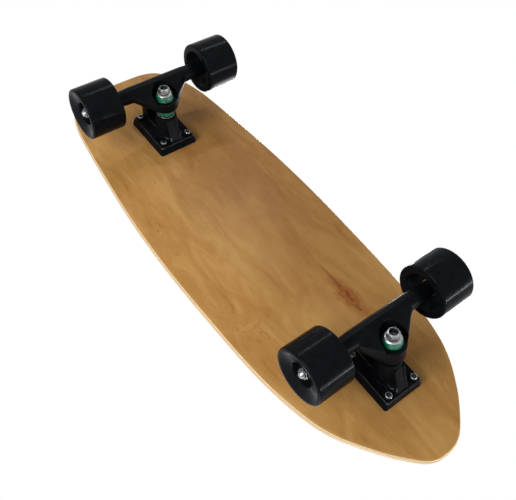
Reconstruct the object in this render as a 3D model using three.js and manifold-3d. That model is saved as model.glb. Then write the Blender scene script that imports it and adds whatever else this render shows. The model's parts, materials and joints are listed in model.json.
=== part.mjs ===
// Surf skateboard: a cupped maple deck on two sprung steering trucks and four urethane wheels.
// Millimetres, +X towards the nose, +Y to the rider's left, +Z up, origin on the ground under the middle.

import * as THREE from "three";
import { ConvexGeometry } from "three/addons/geometries/ConvexGeometry.js";
import { mergeVertices } from "three/addons/utils/BufferGeometryUtils.js";
import Module from "manifold-3d";

const wasm = await Module();
wasm.setup();

// Driving dimensions

const clearance = 0.3;
const overrun = 2;

const deck = {
  length: 746,
  width: 253,
  thickness: 10,
  noseOverhang: 119,
  tailOverhang: 149,
  flatHalfWidth: 30,
  concaveDepth: 12,
  noseLift: 8,
  tailLift: 14,
  edgeRound: 3.5,
  edgeFlatInset: 0.8,
};
// Half outline from the nose tip to the tail corner, as shares of half the length and half the width.
const outlineShares = [
  [1, 0], [0.986, 0.19], [0.93, 0.38], [0.857, 0.56], [0.75, 0.757], [0.63, 0.87], [0.45, 0.95],
  [0.19, 0.987], [-0.04, 1], [-0.28, 0.98], [-0.5, 0.925], [-0.7, 0.86], [-0.83, 0.795],
  [-0.93, 0.69], [-0.985, 0.54], [-1, 0.36],
];
const concavePower = 1.6;
const liftPower = 1.5;
// Rows along the half outline; they lie closer together at the nose and the tail.
const deckRows = 28;
const rowEase = 0.6;
// Places between the flat middle and the edge, as shares of that width.
const outerShares = [0, 0.35, 0.7, 1];

const grip = {
  thickness: 0.9,
  inset: 2,
};

const pattern = {
  length: 63.5,
  width: 41.3,
};

const deckBolt = {
  radius: 2.4,
  headRadius: 4.7,
  headHeight: 3,
  headSink: 0.2,
  socketRadius: 1.7,
  socketDepth: 1.8,
  tipReach: 1,
};

const deckNut = {
  cornerRadius: 5.4,
  height: 5,
};

const plate = {
  length: 84,
  width: 61,
  thickness: 13,
  draft: 2.6,
  cornerRadius: 3,
  pedestalHalfWidth: 14.5,
  pedestalNose: 31,
  pedestalTail: 38,
  pedestalHeight: 18,
  pedestalDraft: 1.2,
  pedestalCorner: 4,
  towerFootRadius: 17.5,
  towerTopRadius: 15,
  buttressHalfWidth: 8.5,
  buttressFoot: 36,
  buttressTop: 21,
  buttressDrop: 1,
  channelHalfWidth: 5,
  channelDepth: 1.2,
};

const kingpin = {
  radius: 4.75,
  headRadius: 8.2,
  headHeight: 6,
  headSink: 1.5,
  tipSink: 2.6,
};

const washer = {
  height: 2,
  lipHeight: 1.2,
  topRadius: 11.2,
  bottomRadius: 13,
};

const bushing = {
  topHeight: 8.6,
  bottomHeight: 12.1,
  topSmallRadius: 11.2,
  topLargeRadius: 12.8,
  bottomSmallRadius: 11.6,
  bottomLargeRadius: 12.8,
  chamfer: 1,
};

const kingpinNut = {
  cornerRadius: 8.3,
  height: 8,
};

const hanger = {
  seatDrop: 9,
  webThickness: 12,
  ringRadius: 17.5,
  recessRadius: 18,
  recessShift: 3,
  kingpinHoleRadius: 8.5,
  bushingPocketRadius: 13.8,
  wingHalfLength: 42,
  wingRadius: 11,
  barRadius: 11.5,
  barNeckRadius: 10,
  wheelGap: 1.5,
  barEndRadius: 9,
};

const front = {
  name: "front",
  kingpinPlace: -0.7,
  kingpinLean: -12,
  axlePlace: -28,
  steerAngle: 18,
  steerDrop: 22,
  pivotReach: 27.3,
  ringDepth: 20,
};

const rear = {
  name: "rear",
  kingpinPlace: 5.5,
  kingpinLean: -5,
  axlePlace: -17,
  steerAngle: 28,
  steerDrop: 17,
  pivotReach: 39.5,
  ringDepth: 13,
};

const ballPivot = {
  ballRadius: 5.2,
  neckRadius: 3.6,
  footRadius: 8,
  linerWall: 1.6,
  bossWall: 2.6,
  mouthFlare: 12,
};

const nosePivot = {
  tipRadius: 5.2,
  rootRadius: 7.5,
  rootReach: 20,
  linerWall: 2,
  linerMouth: 7,
  linerFloor: 2,
  housingWall: 3,
  housingFootLength: 16,
};

const axle = {
  radius: 4,
  height: 79,
  track: 187.2,
  tipReach: 2.5,
};

const axleNut = {
  cornerRadius: 7.4,
  height: 7.5,
};

const wheel = {
  radius: 35.5,
  width: 50,
  treadWidth: 45,
  lipRadius: 2.5,
  coreRadius: 14,
  coreBoreRadius: 9,
  sides: 24,
};

const innerDish = {
  rim: 25.5,
  floor: 19,
  depth: 12,
};

const outerDish = {
  rim: 31,
  floor: 15.5,
  depth: 5,
};

const bearing = {
  outerRadius: 11,
  width: 7,
  spacing: 10,
  chamfer: 0.5,
};

const spacer = {
  outerRadius: 5.8,
};

// Counts of sides on round pieces

const roundSides = 18;
const smallSides = 12;
const ballSides = 16;
const hexSides = 6;
const lipSteps = 2;
const cornerSteps = 3;

// Finishes

const finishes = {
  maple: { color: 0xc9a877, roughness: 0.45, metalness: 0 },
  grip: { color: 0x1b1b1d, roughness: 0.95, metalness: 0 },
  blackPaint: { color: 0x1c1e22, roughness: 0.35, metalness: 0.2 },
  zincSteel: { color: 0xc6c8ca, roughness: 0.3, metalness: 0.9 },
  greenUrethane: { color: 0x0f7a5c, roughness: 0.35, metalness: 0 },
  blackUrethane: { color: 0x121316, roughness: 0.2, metalness: 0 },
  bearingSteel: { color: 0xa9adb2, roughness: 0.25, metalness: 0.9 },
  clearUrethane: { color: 0x2a2c2f, roughness: 0.5, metalness: 0 },
};

// Sizes worked out from the driving dimensions

const halfLength = deck.length / 2;
const halfWidth = deck.width / 2;
const wheelReach = wheel.radius * Math.cos(Math.PI / wheel.sides);
const deckUnderside = axle.height + wheelReach;
const frontPlace = halfLength - deck.noseOverhang;
const rearPlace = deck.tailOverhang - halfLength;
const noseLiftStart = frontPlace + plate.length / 2;
const tailLiftStart = rearPlace - plate.length / 2;
const gripBase = deck.thickness + clearance;
const gripTop = gripBase + grip.thickness;

// The stack on the kingpin, from the hanger's seats down to the tower and up to the nut.
const seatHeight = axle.height - hanger.seatDrop;
const bottomSeatHeight = seatHeight - hanger.webThickness;
const bottomBushingTop = bottomSeatHeight - clearance;
const bottomBushingBase = bottomBushingTop - bushing.bottomHeight;
const washerSeat = bottomBushingBase - clearance - washer.height;
const towerHeight = washerSeat - clearance;
const topBushingBase = seatHeight + clearance;
const topWasherBase = topBushingBase + bushing.topHeight + clearance;
const kingpinNutBase = topWasherBase + washer.height + clearance;
const kingpinTip = kingpinNutBase + kingpinNut.height - kingpin.tipSink;

const bearingFace = bearing.spacing / 2 + bearing.width;
const wheelCentre = axle.track / 2;
const hangerEnd = wheelCentre - bearingFace - clearance;
const hangerNeck = wheelCentre - wheel.width / 2 - hanger.wheelGap;
const axleNutBase = wheelCentre + bearingFace + clearance;
const axleTip = axleNutBase + axleNut.height + axle.tipReach;

// Radii round the front pivot's ball: the liner's two faces, the socket and its boss.
const linerInner = ballPivot.ballRadius + clearance;
const linerOuter = linerInner + ballPivot.linerWall;
const socketRadius = linerOuter + clearance;
const bossRadius = socketRadius + ballPivot.bossWall;

// The rear pivot's nose widens from its tip; the cup and the housing follow it.
const noseTaper = (nosePivot.rootRadius - nosePivot.tipRadius) / nosePivot.rootReach;
const mouthRadius = nosePivot.tipRadius + noseTaper * nosePivot.linerMouth + clearance;
const cupFloor = -(nosePivot.tipRadius + clearance);
const cupRadius = mouthRadius + nosePivot.linerWall;
const cupBase = cupFloor - nosePivot.linerFloor;
const housingRadius = cupRadius + clearance + nosePivot.housingWall;
const housingBase = cupBase - clearance - nosePivot.housingWall;

// Solids

const radians = (degrees) => THREE.MathUtils.degToRad(degrees);

/** Signed volume of an indexed triangle mesh. */
function signedVolume(position, index) {
  const [a, b, c] = [new THREE.Vector3(), new THREE.Vector3(), new THREE.Vector3()];
  let sum = 0;
  for (let i = 0; i < index.length; i += 3) {
    a.fromBufferAttribute(position, index[i]);
    b.fromBufferAttribute(position, index[i + 1]);
    c.fromBufferAttribute(position, index[i + 2]);
    sum += a.dot(b.cross(c));
  }
  return sum;
}

/** One closed mesh with merged vertices, no empty triangles and its faces pointing out. */
function closed(geometry) {
  const bare = geometry.clone();
  bare.deleteAttribute("normal");
  bare.deleteAttribute("uv");
  const merged = mergeVertices(bare);
  const kept = [];
  const all = merged.index.array;
  for (let i = 0; i < all.length; i += 3) {
    const [a, b, c] = [all[i], all[i + 1], all[i + 2]];
    if (a !== b && b !== c && c !== a) kept.push(a, b, c);
  }
  if (signedVolume(merged.attributes.position, kept) < 0) kept.reverse();
  merged.setIndex(kept);
  return merged;
}

/** The closed mesh as a solid that can be joined and cut. */
function solid(geometry) {
  const mesh = closed(geometry);
  return new wasm.Manifold(new wasm.Mesh({
    numProp: 3,
    vertProperties: new Float32Array(mesh.attributes.position.array),
    triVerts: new Uint32Array(mesh.index.array),
  }));
}

/** A solid as a plain geometry with flat normals. */
function geometryOf(body) {
  const mesh = body.getMesh();
  const geometry = new THREE.BufferGeometry();
  geometry.setAttribute("position", new THREE.BufferAttribute(new Float32Array(mesh.vertProperties), 3));
  geometry.setIndex(new THREE.BufferAttribute(new Uint32Array(mesh.triVerts), 1));
  return geometry;
}

/** First geometry joined with the others, then cut by each cutter. */
function carve(bodies, cutters) {
  const whole = bodies.map(solid).reduce((sum, next) => sum.add(next));
  return geometryOf(cutters.map(solid).reduce((left, next) => left.subtract(next), whole));
}

/** Body of revolution about +Z through [radius, height] points. */
function turned(points, sides = roundSides) {
  const profile = points.map(([radius, height]) => new THREE.Vector2(radius, height));
  return new THREE.LatheGeometry(profile, sides).rotateX(Math.PI / 2);
}

/** Ring of revolution about +Z: the profile closes on itself. */
function turnedRing(points, sides = roundSides) {
  return turned([...points, points[0]], sides);
}

/** Cylinder about +Z between two heights. */
function rod(radius, low, high, sides = roundSides) {
  return turned([[0, low], [radius, low], [radius, high], [0, high]], sides);
}

/** Rounded rectangle ring of points at one height. */
function roundedRing(lowX, highX, halfY, corner, height) {
  const shape = new THREE.Shape();
  shape.moveTo(highX, 0);
  shape.lineTo(highX, halfY - corner);
  shape.absarc(highX - corner, halfY - corner, corner, 0, Math.PI / 2, false);
  shape.absarc(lowX + corner, halfY - corner, corner, Math.PI / 2, Math.PI, false);
  shape.absarc(lowX + corner, corner - halfY, corner, Math.PI, 3 * Math.PI / 2, false);
  shape.absarc(highX - corner, corner - halfY, corner, 3 * Math.PI / 2, 2 * Math.PI, false);
  return shape.getPoints(cornerSteps).map((p) => new THREE.Vector3(p.x, p.y, height));
}

/** Closed solid through rings that hold the same number of points each; both ends are flat. */
function loft(rings) {
  const count = rings[0].length;
  const positions = rings.flat().flatMap((p) => [p.x, p.y, p.z]);
  const triangles = [];
  for (let ring = 0; ring + 1 < rings.length; ring += 1) {
    for (let i = 0; i < count; i += 1) {
      const next = (i + 1) % count;
      const [a, b] = [ring * count + i, ring * count + next];
      triangles.push(a, b, b + count, a, b + count, a + count);
    }
  }
  const last = (rings.length - 1) * count;
  for (let i = 1; i + 1 < count; i += 1) {
    triangles.push(0, i + 1, i, last, last + i, last + i + 1);
  }
  const geometry = new THREE.BufferGeometry();
  geometry.setAttribute("position", new THREE.Float32BufferAttribute(positions, 3));
  geometry.setIndex(triangles);
  return geometry;
}

/** Block whose outline lies in the XZ plane, centred on Y. */
function slab(points, halfThickness) {
  const outline = new THREE.Shape(points.map(([x, z]) => new THREE.Vector2(x, z)));
  const block = new THREE.ExtrudeGeometry(outline, { depth: 2 * halfThickness, bevelEnabled: false });
  return block.translate(0, 0, -halfThickness).rotateX(Math.PI / 2);
}

/** Six-sided nut about +Z from height zero, with a round bore. */
function hexNut(cornerRadius, height, boreRadius) {
  const outline = new THREE.Shape(polygon(cornerRadius, hexSides));
  outline.holes.push(new THREE.Path(polygon(boreRadius, smallSides, Math.PI / smallSides)));
  return new THREE.ExtrudeGeometry(outline, { depth: height, bevelEnabled: false });
}

/** Corners of a regular polygon, the first one turned from +X by an angle. */
function polygon(radius, sides, turn = 0) {
  const corner = (i) => turn + 2 * Math.PI * i / sides;
  return Array.from({ length: sides }, (_, i) =>
    new THREE.Vector2(radius * Math.cos(corner(i)), radius * Math.sin(corner(i))));
}

/** Named mesh with one of the finishes. */
function piece(name, geometry, finish) {
  const material = new THREE.MeshStandardMaterial({ name: finish, ...finishes[finish] });
  const mesh = new THREE.Mesh(closed(geometry), material);
  mesh.name = name;
  return mesh;
}

// Deck and grip tape

/** Full outline through the nose tip, from the left tail corner to the right one. */
function deckCurve() {
  const right = outlineShares.map(([x, y]) => new THREE.Vector2(x * halfLength, y * halfWidth));
  const left = right.slice(1).reverse().map((p) => new THREE.Vector2(p.x, -p.y));
  return new THREE.SplineCurve([...left, ...right]);
}

/** Half outline drawn in by an inset: points with the direction that faces out of the deck. */
function halfOutline(inset) {
  const curve = deckCurve();
  const rows = [];
  for (let row = 0; row <= deckRows; row += 1) {
    const share = row / deckRows;
    const place = 0.5 + 0.5 * (share - rowEase * Math.sin(2 * Math.PI * share) / (2 * Math.PI));
    const point = curve.getPointAt(place);
    const along = curve.getTangentAt(place);
    const out = row === 0 ? new THREE.Vector2(1, 0) : new THREE.Vector2(along.y, -along.x);
    rows.push({ point: point.addScaledVector(out, -inset), out });
  }
  return rows;
}

/** Height of the underside above its flat middle: cupped sides, lifted nose and tail. */
function rise(x, y) {
  const side = Math.max(0, Math.abs(y) - deck.flatHalfWidth) / (halfWidth - deck.flatHalfWidth);
  const nose = Math.max(0, x - noseLiftStart) / (halfLength - noseLiftStart);
  const tail = Math.max(0, tailLiftStart - x) / (halfLength + tailLiftStart);
  return deck.concaveDepth * side ** concavePower
    + deck.noseLift * nose ** liftPower
    + deck.tailLift * tail ** liftPower;
}

/** Places across a row, from the right edge to the left one. */
function acrossRow(edge) {
  const flat = Math.min(deck.flatHalfWidth, edge * outerShares[1]);
  const half = outerShares.map((share) => flat + share * (edge - flat));
  return [...half.slice().reverse().map((y) => -y), 0, ...half];
}

/**
 * Curved board between two heights above the deck's underside.
 * The rim lists [inset, height] pairs between the lower and the upper face.
 */
function board(inset, low, high, rim) {
  const outline = halfOutline(inset);
  const vertices = [];
  const add = (x, y, height) => vertices.push(x, y, rise(x, y) + height) / 3 - 1;
  const face = (height) => outline.map(({ point }) => acrossRow(point.y).map((y) => add(point.x, y, height)));
  const [lower, upper] = [face(low), face(high)];
  const triangles = [];
  const quad = (a, b, c, d) => triangles.push(a, b, c, a, c, d);
  const columns = lower[0].length - 1;
  for (let row = 0; row < deckRows; row += 1) {
    for (let column = 0; column < columns; column += 1) {
      const next = column + 1;
      quad(lower[row][column], lower[row][next], lower[row + 1][next], lower[row + 1][column]);
      quad(upper[row][column], upper[row + 1][column], upper[row + 1][next], upper[row][next]);
    }
  }
  const edge = [];
  outline.forEach(({ point, out }, row) => edge.push({ x: point.x, y: point.y, out, at: [row, columns] }));
  acrossRow(outline[deckRows].point.y).slice(1, -1).reverse().forEach((y, i) =>
    edge.push({ x: outline[deckRows].point.x, y, out: { x: -1, y: 0 }, at: [deckRows, columns - 1 - i] }));
  outline.slice(1).reverse().forEach(({ point, out }, i) =>
    edge.push({ x: point.x, y: -point.y, out: { x: out.x, y: -out.y }, at: [deckRows - i, 0] }));
  const loops = [
    edge.map(({ at }) => lower[at[0]][at[1]]),
    ...rim.map(([drawn, height]) => edge.map(({ x, y, out }) =>
      vertices.push(x + (inset - drawn) * out.x, y + (inset - drawn) * out.y, rise(x, y) + height) / 3 - 1)),
    edge.map(({ at }) => upper[at[0]][at[1]]),
  ];
  for (let loop = 0; loop + 1 < loops.length; loop += 1) {
    edge.forEach((_, i) => {
      const next = (i + 1) % edge.length;
      quad(loops[loop][i], loops[loop + 1][i], loops[loop + 1][next], loops[loop][next]);
    });
  }
  const geometry = new THREE.BufferGeometry();
  geometry.setAttribute("position", new THREE.Float32BufferAttribute(vertices, 3));
  geometry.setIndex(triangles);
  return geometry;
}

/** Places of the eight deck bolts. */
function boltPlaces() {
  const places = [];
  for (const middle of [frontPlace, rearPlace]) {
    for (const along of [1, -1]) {
      for (const side of [1, -1]) {
        places.push([middle + along * pattern.length / 2, side * pattern.width / 2]);
      }
    }
  }
  return places;
}

/** Maple board with a rounded edge and eight countersunk bolt holes. */
function deckGeometry() {
  const rim = [
    [deck.edgeFlatInset, deck.edgeRound - deck.edgeFlatInset],
    [0, deck.edgeRound],
    [0, deck.thickness - deck.edgeRound],
    [deck.edgeFlatInset, deck.thickness - deck.edgeRound + deck.edgeFlatInset],
  ];
  const body = board(deck.edgeRound, 0, deck.thickness, rim);
  const [bore, sink] = [deckBolt.radius + clearance, deckBolt.headRadius + clearance];
  const coneTop = gripTop - deckBolt.headSink;
  const coneBase = coneTop - deckBolt.headHeight - clearance;
  const hole = turned([
    [0, -overrun], [bore, -overrun], [bore, coneBase],
    [sink, coneTop], [sink, coneTop + overrun], [0, coneTop + overrun],
  ], smallSides);
  return carve([body], boltPlaces().map(([x, y]) => hole.clone().translate(x, y, 0)));
}

/** Grip tape over the riding side, with a hole at each bolt head. */
function gripGeometry() {
  const rim = [[grip.inset, gripBase + grip.thickness / 2]];
  const body = board(grip.inset, gripBase, gripTop, rim);
  const hole = rod(deckBolt.headRadius + clearance, gripBase - overrun, gripTop + overrun, smallSides);
  return carve([body], boltPlaces().map(([x, y]) => hole.clone().translate(x, y, 0)));
}

/** Countersunk deck bolt about +Z; its head is flush with the grip tape and height zero is the underside. */
function deckBoltGeometry() {
  const top = gripTop - deckBolt.headSink;
  const tip = -(plate.thickness + clearance + deckNut.height + deckBolt.tipReach);
  return turned([
    [0, tip], [deckBolt.radius, tip], [deckBolt.radius, top - deckBolt.headHeight],
    [deckBolt.headRadius, top], [deckBolt.socketRadius, top],
    [deckBolt.socketRadius, top - deckBolt.socketDepth], [0, top - deckBolt.socketDepth],
  ], smallSides);
}

// Trucks: every size here is measured down from the deck's underside, and +X still faces the nose

/** Height at which one truck's steering axis crosses its kingpin. */
function steerHeight(spec) {
  return axle.height - spec.steerDrop;
}

/** Height of the deck-side face of one hanger's ring. */
function ringBottom(spec) {
  return seatHeight - spec.ringDepth;
}

/** Moves a piece of the kingpin's stack to its place and lean on one truck. */
function onKingpin(spec, geometry) {
  return geometry
    .translate(0, 0, -steerHeight(spec))
    .rotateY(radians(spec.kingpinLean))
    .translate(spec.kingpinPlace, 0, steerHeight(spec));
}

/** Unit vector from the pivot towards the kingpin, and the pivot's centre. */
function steering(spec) {
  const angle = radians(spec.steerAngle);
  const towardsDeck = spec === front ? -1 : 1;
  const axis = new THREE.Vector3(Math.cos(angle), 0, towardsDeck * Math.sin(angle));
  const ring = new THREE.Vector3(spec.kingpinPlace, 0, steerHeight(spec));
  const centre = ring.clone().addScaledVector(axis, -spec.pivotReach / Math.cos(angle));
  return { axis, ring, centre };
}

/** Turns a piece that was made about +Z onto the steering axis, its height zero at the pivot's centre. */
function onSteering(spec, geometry) {
  const { axis, centre } = steering(spec);
  const turn = new THREE.Quaternion().setFromUnitVectors(new THREE.Vector3(0, 0, 1), axis);
  return geometry.applyQuaternion(turn).translate(centre.x, centre.y, centre.z);
}

/** Ball of the front pivot, or a shell cut out for it. */
function ball(radius, centre) {
  return new THREE.SphereGeometry(radius, ballSides, ballSides / 2).rotateX(Math.PI / 2)
    .translate(centre.x, centre.y, centre.z);
}

/** Points on the two ends of a cylinder, for a convex body. */
function endPoints(geometry) {
  const places = geometry.attributes.position;
  return Array.from({ length: places.count }, (_, i) => new THREE.Vector3().fromBufferAttribute(places, i));
}

/** Smallest convex body round some geometries. */
function convexRound(geometries) {
  return new ConvexGeometry(geometries.flatMap(endPoints));
}

/** Front pivot: a post on the base plate that ends in a ball under the axle. */
function pivotPost(spec) {
  const { centre } = steering(spec);
  const neck = centre.z - Math.sqrt(ballPivot.ballRadius ** 2 - ballPivot.neckRadius ** 2);
  const post = turned([
    [0, plate.thickness - overrun], [ballPivot.footRadius, plate.thickness - overrun],
    [ballPivot.footRadius, plate.pedestalHeight], [ballPivot.neckRadius, neck], [0, neck + overrun],
  ], ballSides);
  return [post.translate(centre.x, 0, 0), ball(ballPivot.ballRadius, centre)];
}

/** Rear pivot: a housing on the base plate whose mouth faces along the steering axis. */
function pivotHousing(spec) {
  const barrel = onSteering(spec, rod(housingRadius, housingBase, nosePivot.linerMouth, ballSides));
  const footRing = (height) => roundedRing(
    -plate.pedestalTail, nosePivot.housingFootLength - plate.pedestalTail,
    plate.pedestalHalfWidth, plate.pedestalCorner, height);
  const foot = loft([footRing(plate.thickness - overrun), footRing(plate.thickness + overrun)]);
  return [convexRound([barrel, foot])];
}

/** Cast base plate with its bushing tower, buttress and pivot. */
function basePlate(spec) {
  const halfPlate = plate.length / 2;
  const flangeRing = (inset, height) => roundedRing(
    inset - halfPlate, halfPlate - inset, plate.width / 2 - inset, plate.cornerRadius, height);
  const pedestalRing = (inset, height) => roundedRing(
    inset - plate.pedestalTail, plate.pedestalNose - inset,
    plate.pedestalHalfWidth - inset, plate.pedestalCorner, height);
  const flange = loft([flangeRing(0, clearance), flangeRing(plate.draft, plate.thickness)]);
  const pedestal = loft([
    pedestalRing(0, plate.thickness - overrun),
    pedestalRing(plate.pedestalDraft, plate.pedestalHeight),
  ]);
  const tower = onKingpin(spec, turned([
    [0, plate.thickness - overrun], [plate.towerFootRadius, plate.thickness - overrun],
    [plate.towerTopRadius, towerHeight], [0, towerHeight],
  ]));
  const shelf = towerHeight - plate.buttressDrop;
  const buttress = slab([
    [spec.kingpinPlace, plate.thickness - overrun], [plate.buttressFoot, plate.thickness - overrun],
    [plate.buttressTop, shelf], [spec.kingpinPlace, shelf],
  ], plate.buttressHalfWidth);
  const channel = slab([
    [plate.buttressFoot - plate.channelDepth, plate.thickness],
    [plate.buttressFoot + overrun, plate.thickness],
    [plate.buttressTop + overrun, shelf],
    [plate.buttressTop - plate.channelDepth, shelf],
  ], plate.channelHalfWidth);
  const bore = onKingpin(spec, rod(kingpin.radius + clearance, -overrun, towerHeight + overrun));
  const headRoom = onKingpin(spec, rod(
    kingpin.headRadius + clearance, -overrun, kingpin.headSink + kingpin.headHeight + clearance));
  const boltHole = rod(deckBolt.radius + clearance, -overrun, plate.thickness + overrun, smallSides);
  const holes = [1, -1].flatMap((along) => [1, -1].map((side) =>
    boltHole.clone().translate(along * pattern.length / 2, side * pattern.width / 2, 0)));
  const pivotParts = spec === front ? pivotPost(spec) : pivotHousing(spec);
  const cupHole = onSteering(spec, rod(
    cupRadius + clearance, cupBase - clearance, nosePivot.linerMouth + overrun, ballSides));
  const pivotHoles = spec === front ? [] : [cupHole];
  return carve(
    [flange, pedestal, tower, buttress, ...pivotParts],
    [bore, headRoom, channel, ...holes, ...pivotHoles],
  );
}

/** Urethane cup of one truck's pivot: half a shell on the front ball, a socket round the rear nose. */
function pivotCup(spec) {
  if (spec === rear) {
    return onSteering(spec, turned([
      [0, cupBase], [cupRadius, cupBase], [cupRadius, nosePivot.linerMouth],
      [mouthRadius, nosePivot.linerMouth], [nosePivot.tipRadius + clearance, 0],
      [nosePivot.tipRadius + clearance, cupFloor], [0, cupFloor],
    ], ballSides));
  }
  const arc = (radius, start, end) => {
    const steps = ballSides / 4;
    return Array.from({ length: steps + 1 }, (_, i) => {
      const angle = start + (end - start) * i / steps;
      return [radius * Math.cos(angle), radius * Math.sin(angle)];
    });
  };
  const quarter = Math.PI / 2;
  const outer = arc(linerOuter, 0, quarter).map(([r, h], i, all) => (i === all.length - 1 ? [0, h] : [r, h]));
  const inner = arc(linerInner, quarter, 0).map(([r, h], i) => (i === 0 ? [0, h] : [r, h]));
  const shell = turned([...inner, ...outer], ballSides);
  const { centre } = steering(spec);
  return shell.translate(centre.x, centre.y, centre.z);
}

/** Turns a piece that was made about +Z onto one end of the axle. */
function onAxle(spec, side, geometry) {
  return geometry.rotateX(-side * Math.PI / 2).translate(spec.axlePlace, 0, axle.height);
}

/** Cast hanger: the axle bar, the ring round the kingpin and the pivot between them. */
function hangerGeometry(spec) {
  const wing = onAxle(spec, 1, rod(hanger.wingRadius, -hanger.wingHalfLength, hanger.wingHalfLength, ballSides));
  const ring = onKingpin(spec, rod(hanger.ringRadius, ringBottom(spec), seatHeight));
  const boss = spec === front
    ? ball(bossRadius, steering(spec).centre)
    : onSteering(spec, rod(nosePivot.rootRadius, nosePivot.rootReach, nosePivot.rootReach + overrun, ballSides));
  const bar = onAxle(spec, 1, turned([
    [0, -hangerEnd], [hanger.barEndRadius, -hangerEnd], [hanger.barNeckRadius, -hangerNeck],
    [hanger.barRadius, -hanger.wingHalfLength], [hanger.barRadius, hanger.wingHalfLength],
    [hanger.barNeckRadius, hangerNeck], [hanger.barEndRadius, hangerEnd], [0, hangerEnd],
  ]));
  const recess = onKingpin(spec, rod(
    hanger.recessRadius, seatHeight, axle.height + hanger.barRadius + overrun)
    .translate(hanger.recessShift, 0, 0));
  const hole = onKingpin(spec, rod(
    hanger.kingpinHoleRadius, ringBottom(spec) - overrun, seatHeight + overrun));
  const pocket = onKingpin(spec, rod(
    hanger.bushingPocketRadius, towerHeight - overrun, bottomSeatHeight));
  const axleBore = onAxle(spec, 1, rod(
    axle.radius + clearance, -hangerEnd - overrun, hangerEnd + overrun, smallSides));
  const cutters = [recess, hole, pocket, axleBore];
  if (spec === front) {
    const { centre } = steering(spec);
    const depth = centre.z - ringBottom(spec) + overrun;
    const flare = socketRadius + depth * Math.tan(radians(ballPivot.mouthFlare));
    cutters.push(
      ball(socketRadius, centre),
      turned([[0, -depth], [flare, -depth], [socketRadius, 0], [0, 0]], ballSides)
        .translate(centre.x, centre.y, centre.z),
    );
    return carve([convexRound([wing, ring, boss]), bar], cutters);
  }
  const noseTip = -nosePivot.tipRadius;
  const nose = onSteering(spec, turned([
    [0, noseTip], [nosePivot.tipRadius / 2, noseTip], [nosePivot.tipRadius, noseTip / 2],
    [nosePivot.tipRadius, 0], [nosePivot.rootRadius, nosePivot.rootReach], [0, nosePivot.rootReach + overrun],
  ], ballSides));
  return carve([convexRound([wing, ring, boss]), bar, nose], cutters);
}

/** Kingpin bolt with its head inside the base plate. */
function kingpinGeometry(spec) {
  const shoulder = kingpin.headSink + kingpin.headHeight;
  return onKingpin(spec, turned([
    [0, kingpin.headSink], [kingpin.headRadius, kingpin.headSink], [kingpin.headRadius, shoulder],
    [kingpin.radius, shoulder], [kingpin.radius, kingpinTip], [0, kingpinTip],
  ], ballSides));
}

/** Washer whose rim is turned in on one side. */
function washerGeometry(spec, radius, base) {
  const bore = kingpin.radius + clearance;
  const lip = washer.height - washer.lipHeight;
  return onKingpin(spec, turnedRing([
    [bore, base], [radius - lip, base], [radius, base + lip], [radius, base + washer.height],
    [bore, base + washer.height],
  ]));
}

/** Urethane bushing between two heights on the kingpin. */
function bushingGeometry(spec, [low, lowRadius], [high, highRadius]) {
  const bore = kingpin.radius + clearance;
  return onKingpin(spec, turnedRing([
    [bore, low], [lowRadius - bushing.chamfer, low], [lowRadius, low + bushing.chamfer],
    [highRadius, high - bushing.chamfer], [highRadius - bushing.chamfer, high], [bore, high],
  ]));
}

/** Everything of one truck that lies on its middle line. */
function truckBody(spec) {
  const named = (name) => `${spec.name}_${name}`;
  const lockNut = hexNut(kingpinNut.cornerRadius, kingpinNut.height, kingpin.radius + clearance);
  const topBushing = [
    [topBushingBase, bushing.topLargeRadius],
    [topBushingBase + bushing.topHeight, bushing.topSmallRadius],
  ];
  const bottomBushing = [
    [bottomBushingBase, bushing.bottomSmallRadius],
    [bottomBushingTop, bushing.bottomLargeRadius],
  ];
  return [
    piece(named("baseplate"), basePlate(spec), "blackPaint"),
    piece(named("pivot_cup"), pivotCup(spec), "clearUrethane"),
    piece(named("kingpin"), kingpinGeometry(spec), "zincSteel"),
    piece(named("bottom_washer"), washerGeometry(spec, washer.bottomRadius, washerSeat), "zincSteel"),
    piece(named("bottom_bushing"), bushingGeometry(spec, ...bottomBushing), "greenUrethane"),
    piece(named("hanger"), hangerGeometry(spec), "blackPaint"),
    piece(named("top_bushing"), bushingGeometry(spec, ...topBushing), "greenUrethane"),
    piece(named("top_washer"), washerGeometry(spec, washer.topRadius, topWasherBase), "zincSteel"),
    piece(named("kingpin_nut"), onKingpin(spec, lockNut.translate(0, 0, kingpinNutBase)), "zincSteel"),
    piece(named("axle"), onAxle(spec, 1, rod(axle.radius, -axleTip, axleTip, ballSides)), "zincSteel"),
  ];
}

// Wheels

/** Urethane wheel about +Z with rounded lips, deeply dished on the inner side and lightly on the outer. */
function wheelGeometry() {
  const [seat, shoulder] = [bearing.outerRadius + clearance, bearing.spacing / 2 - clearance];
  const [face, halfTread] = [wheel.width / 2, wheel.treadWidth / 2];
  const rim = wheel.radius - wheel.lipRadius;
  const lip = Array.from({ length: lipSteps + 1 }, (_, i) => {
    const angle = Math.PI / 2 * i / lipSteps;
    return [rim + wheel.lipRadius * Math.sin(angle), halfTread + (face - halfTread) * Math.cos(angle)];
  });
  const half = (dish) => [
    [wheel.coreBoreRadius, shoulder], [seat, shoulder], [seat, bearingFace], [wheel.coreRadius, bearingFace],
    [dish.floor, face - dish.depth], [dish.rim, face], ...lip,
  ];
  const inner = half(innerDish).reverse().map(([radius, height]) => [radius, -height]);
  return turnedRing([...half(outerDish), ...inner], wheel.sides).rotateZ(Math.PI / wheel.sides);
}

/** Ball bearing about +Z from height zero. */
function bearingGeometry() {
  const bore = axle.radius + clearance;
  return turnedRing([
    [bore, 0], [bearing.outerRadius - bearing.chamfer, 0], [bearing.outerRadius, bearing.chamfer],
    [bearing.outerRadius, bearing.width - bearing.chamfer],
    [bearing.outerRadius - bearing.chamfer, bearing.width], [bore, bearing.width],
  ], ballSides);
}

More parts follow.
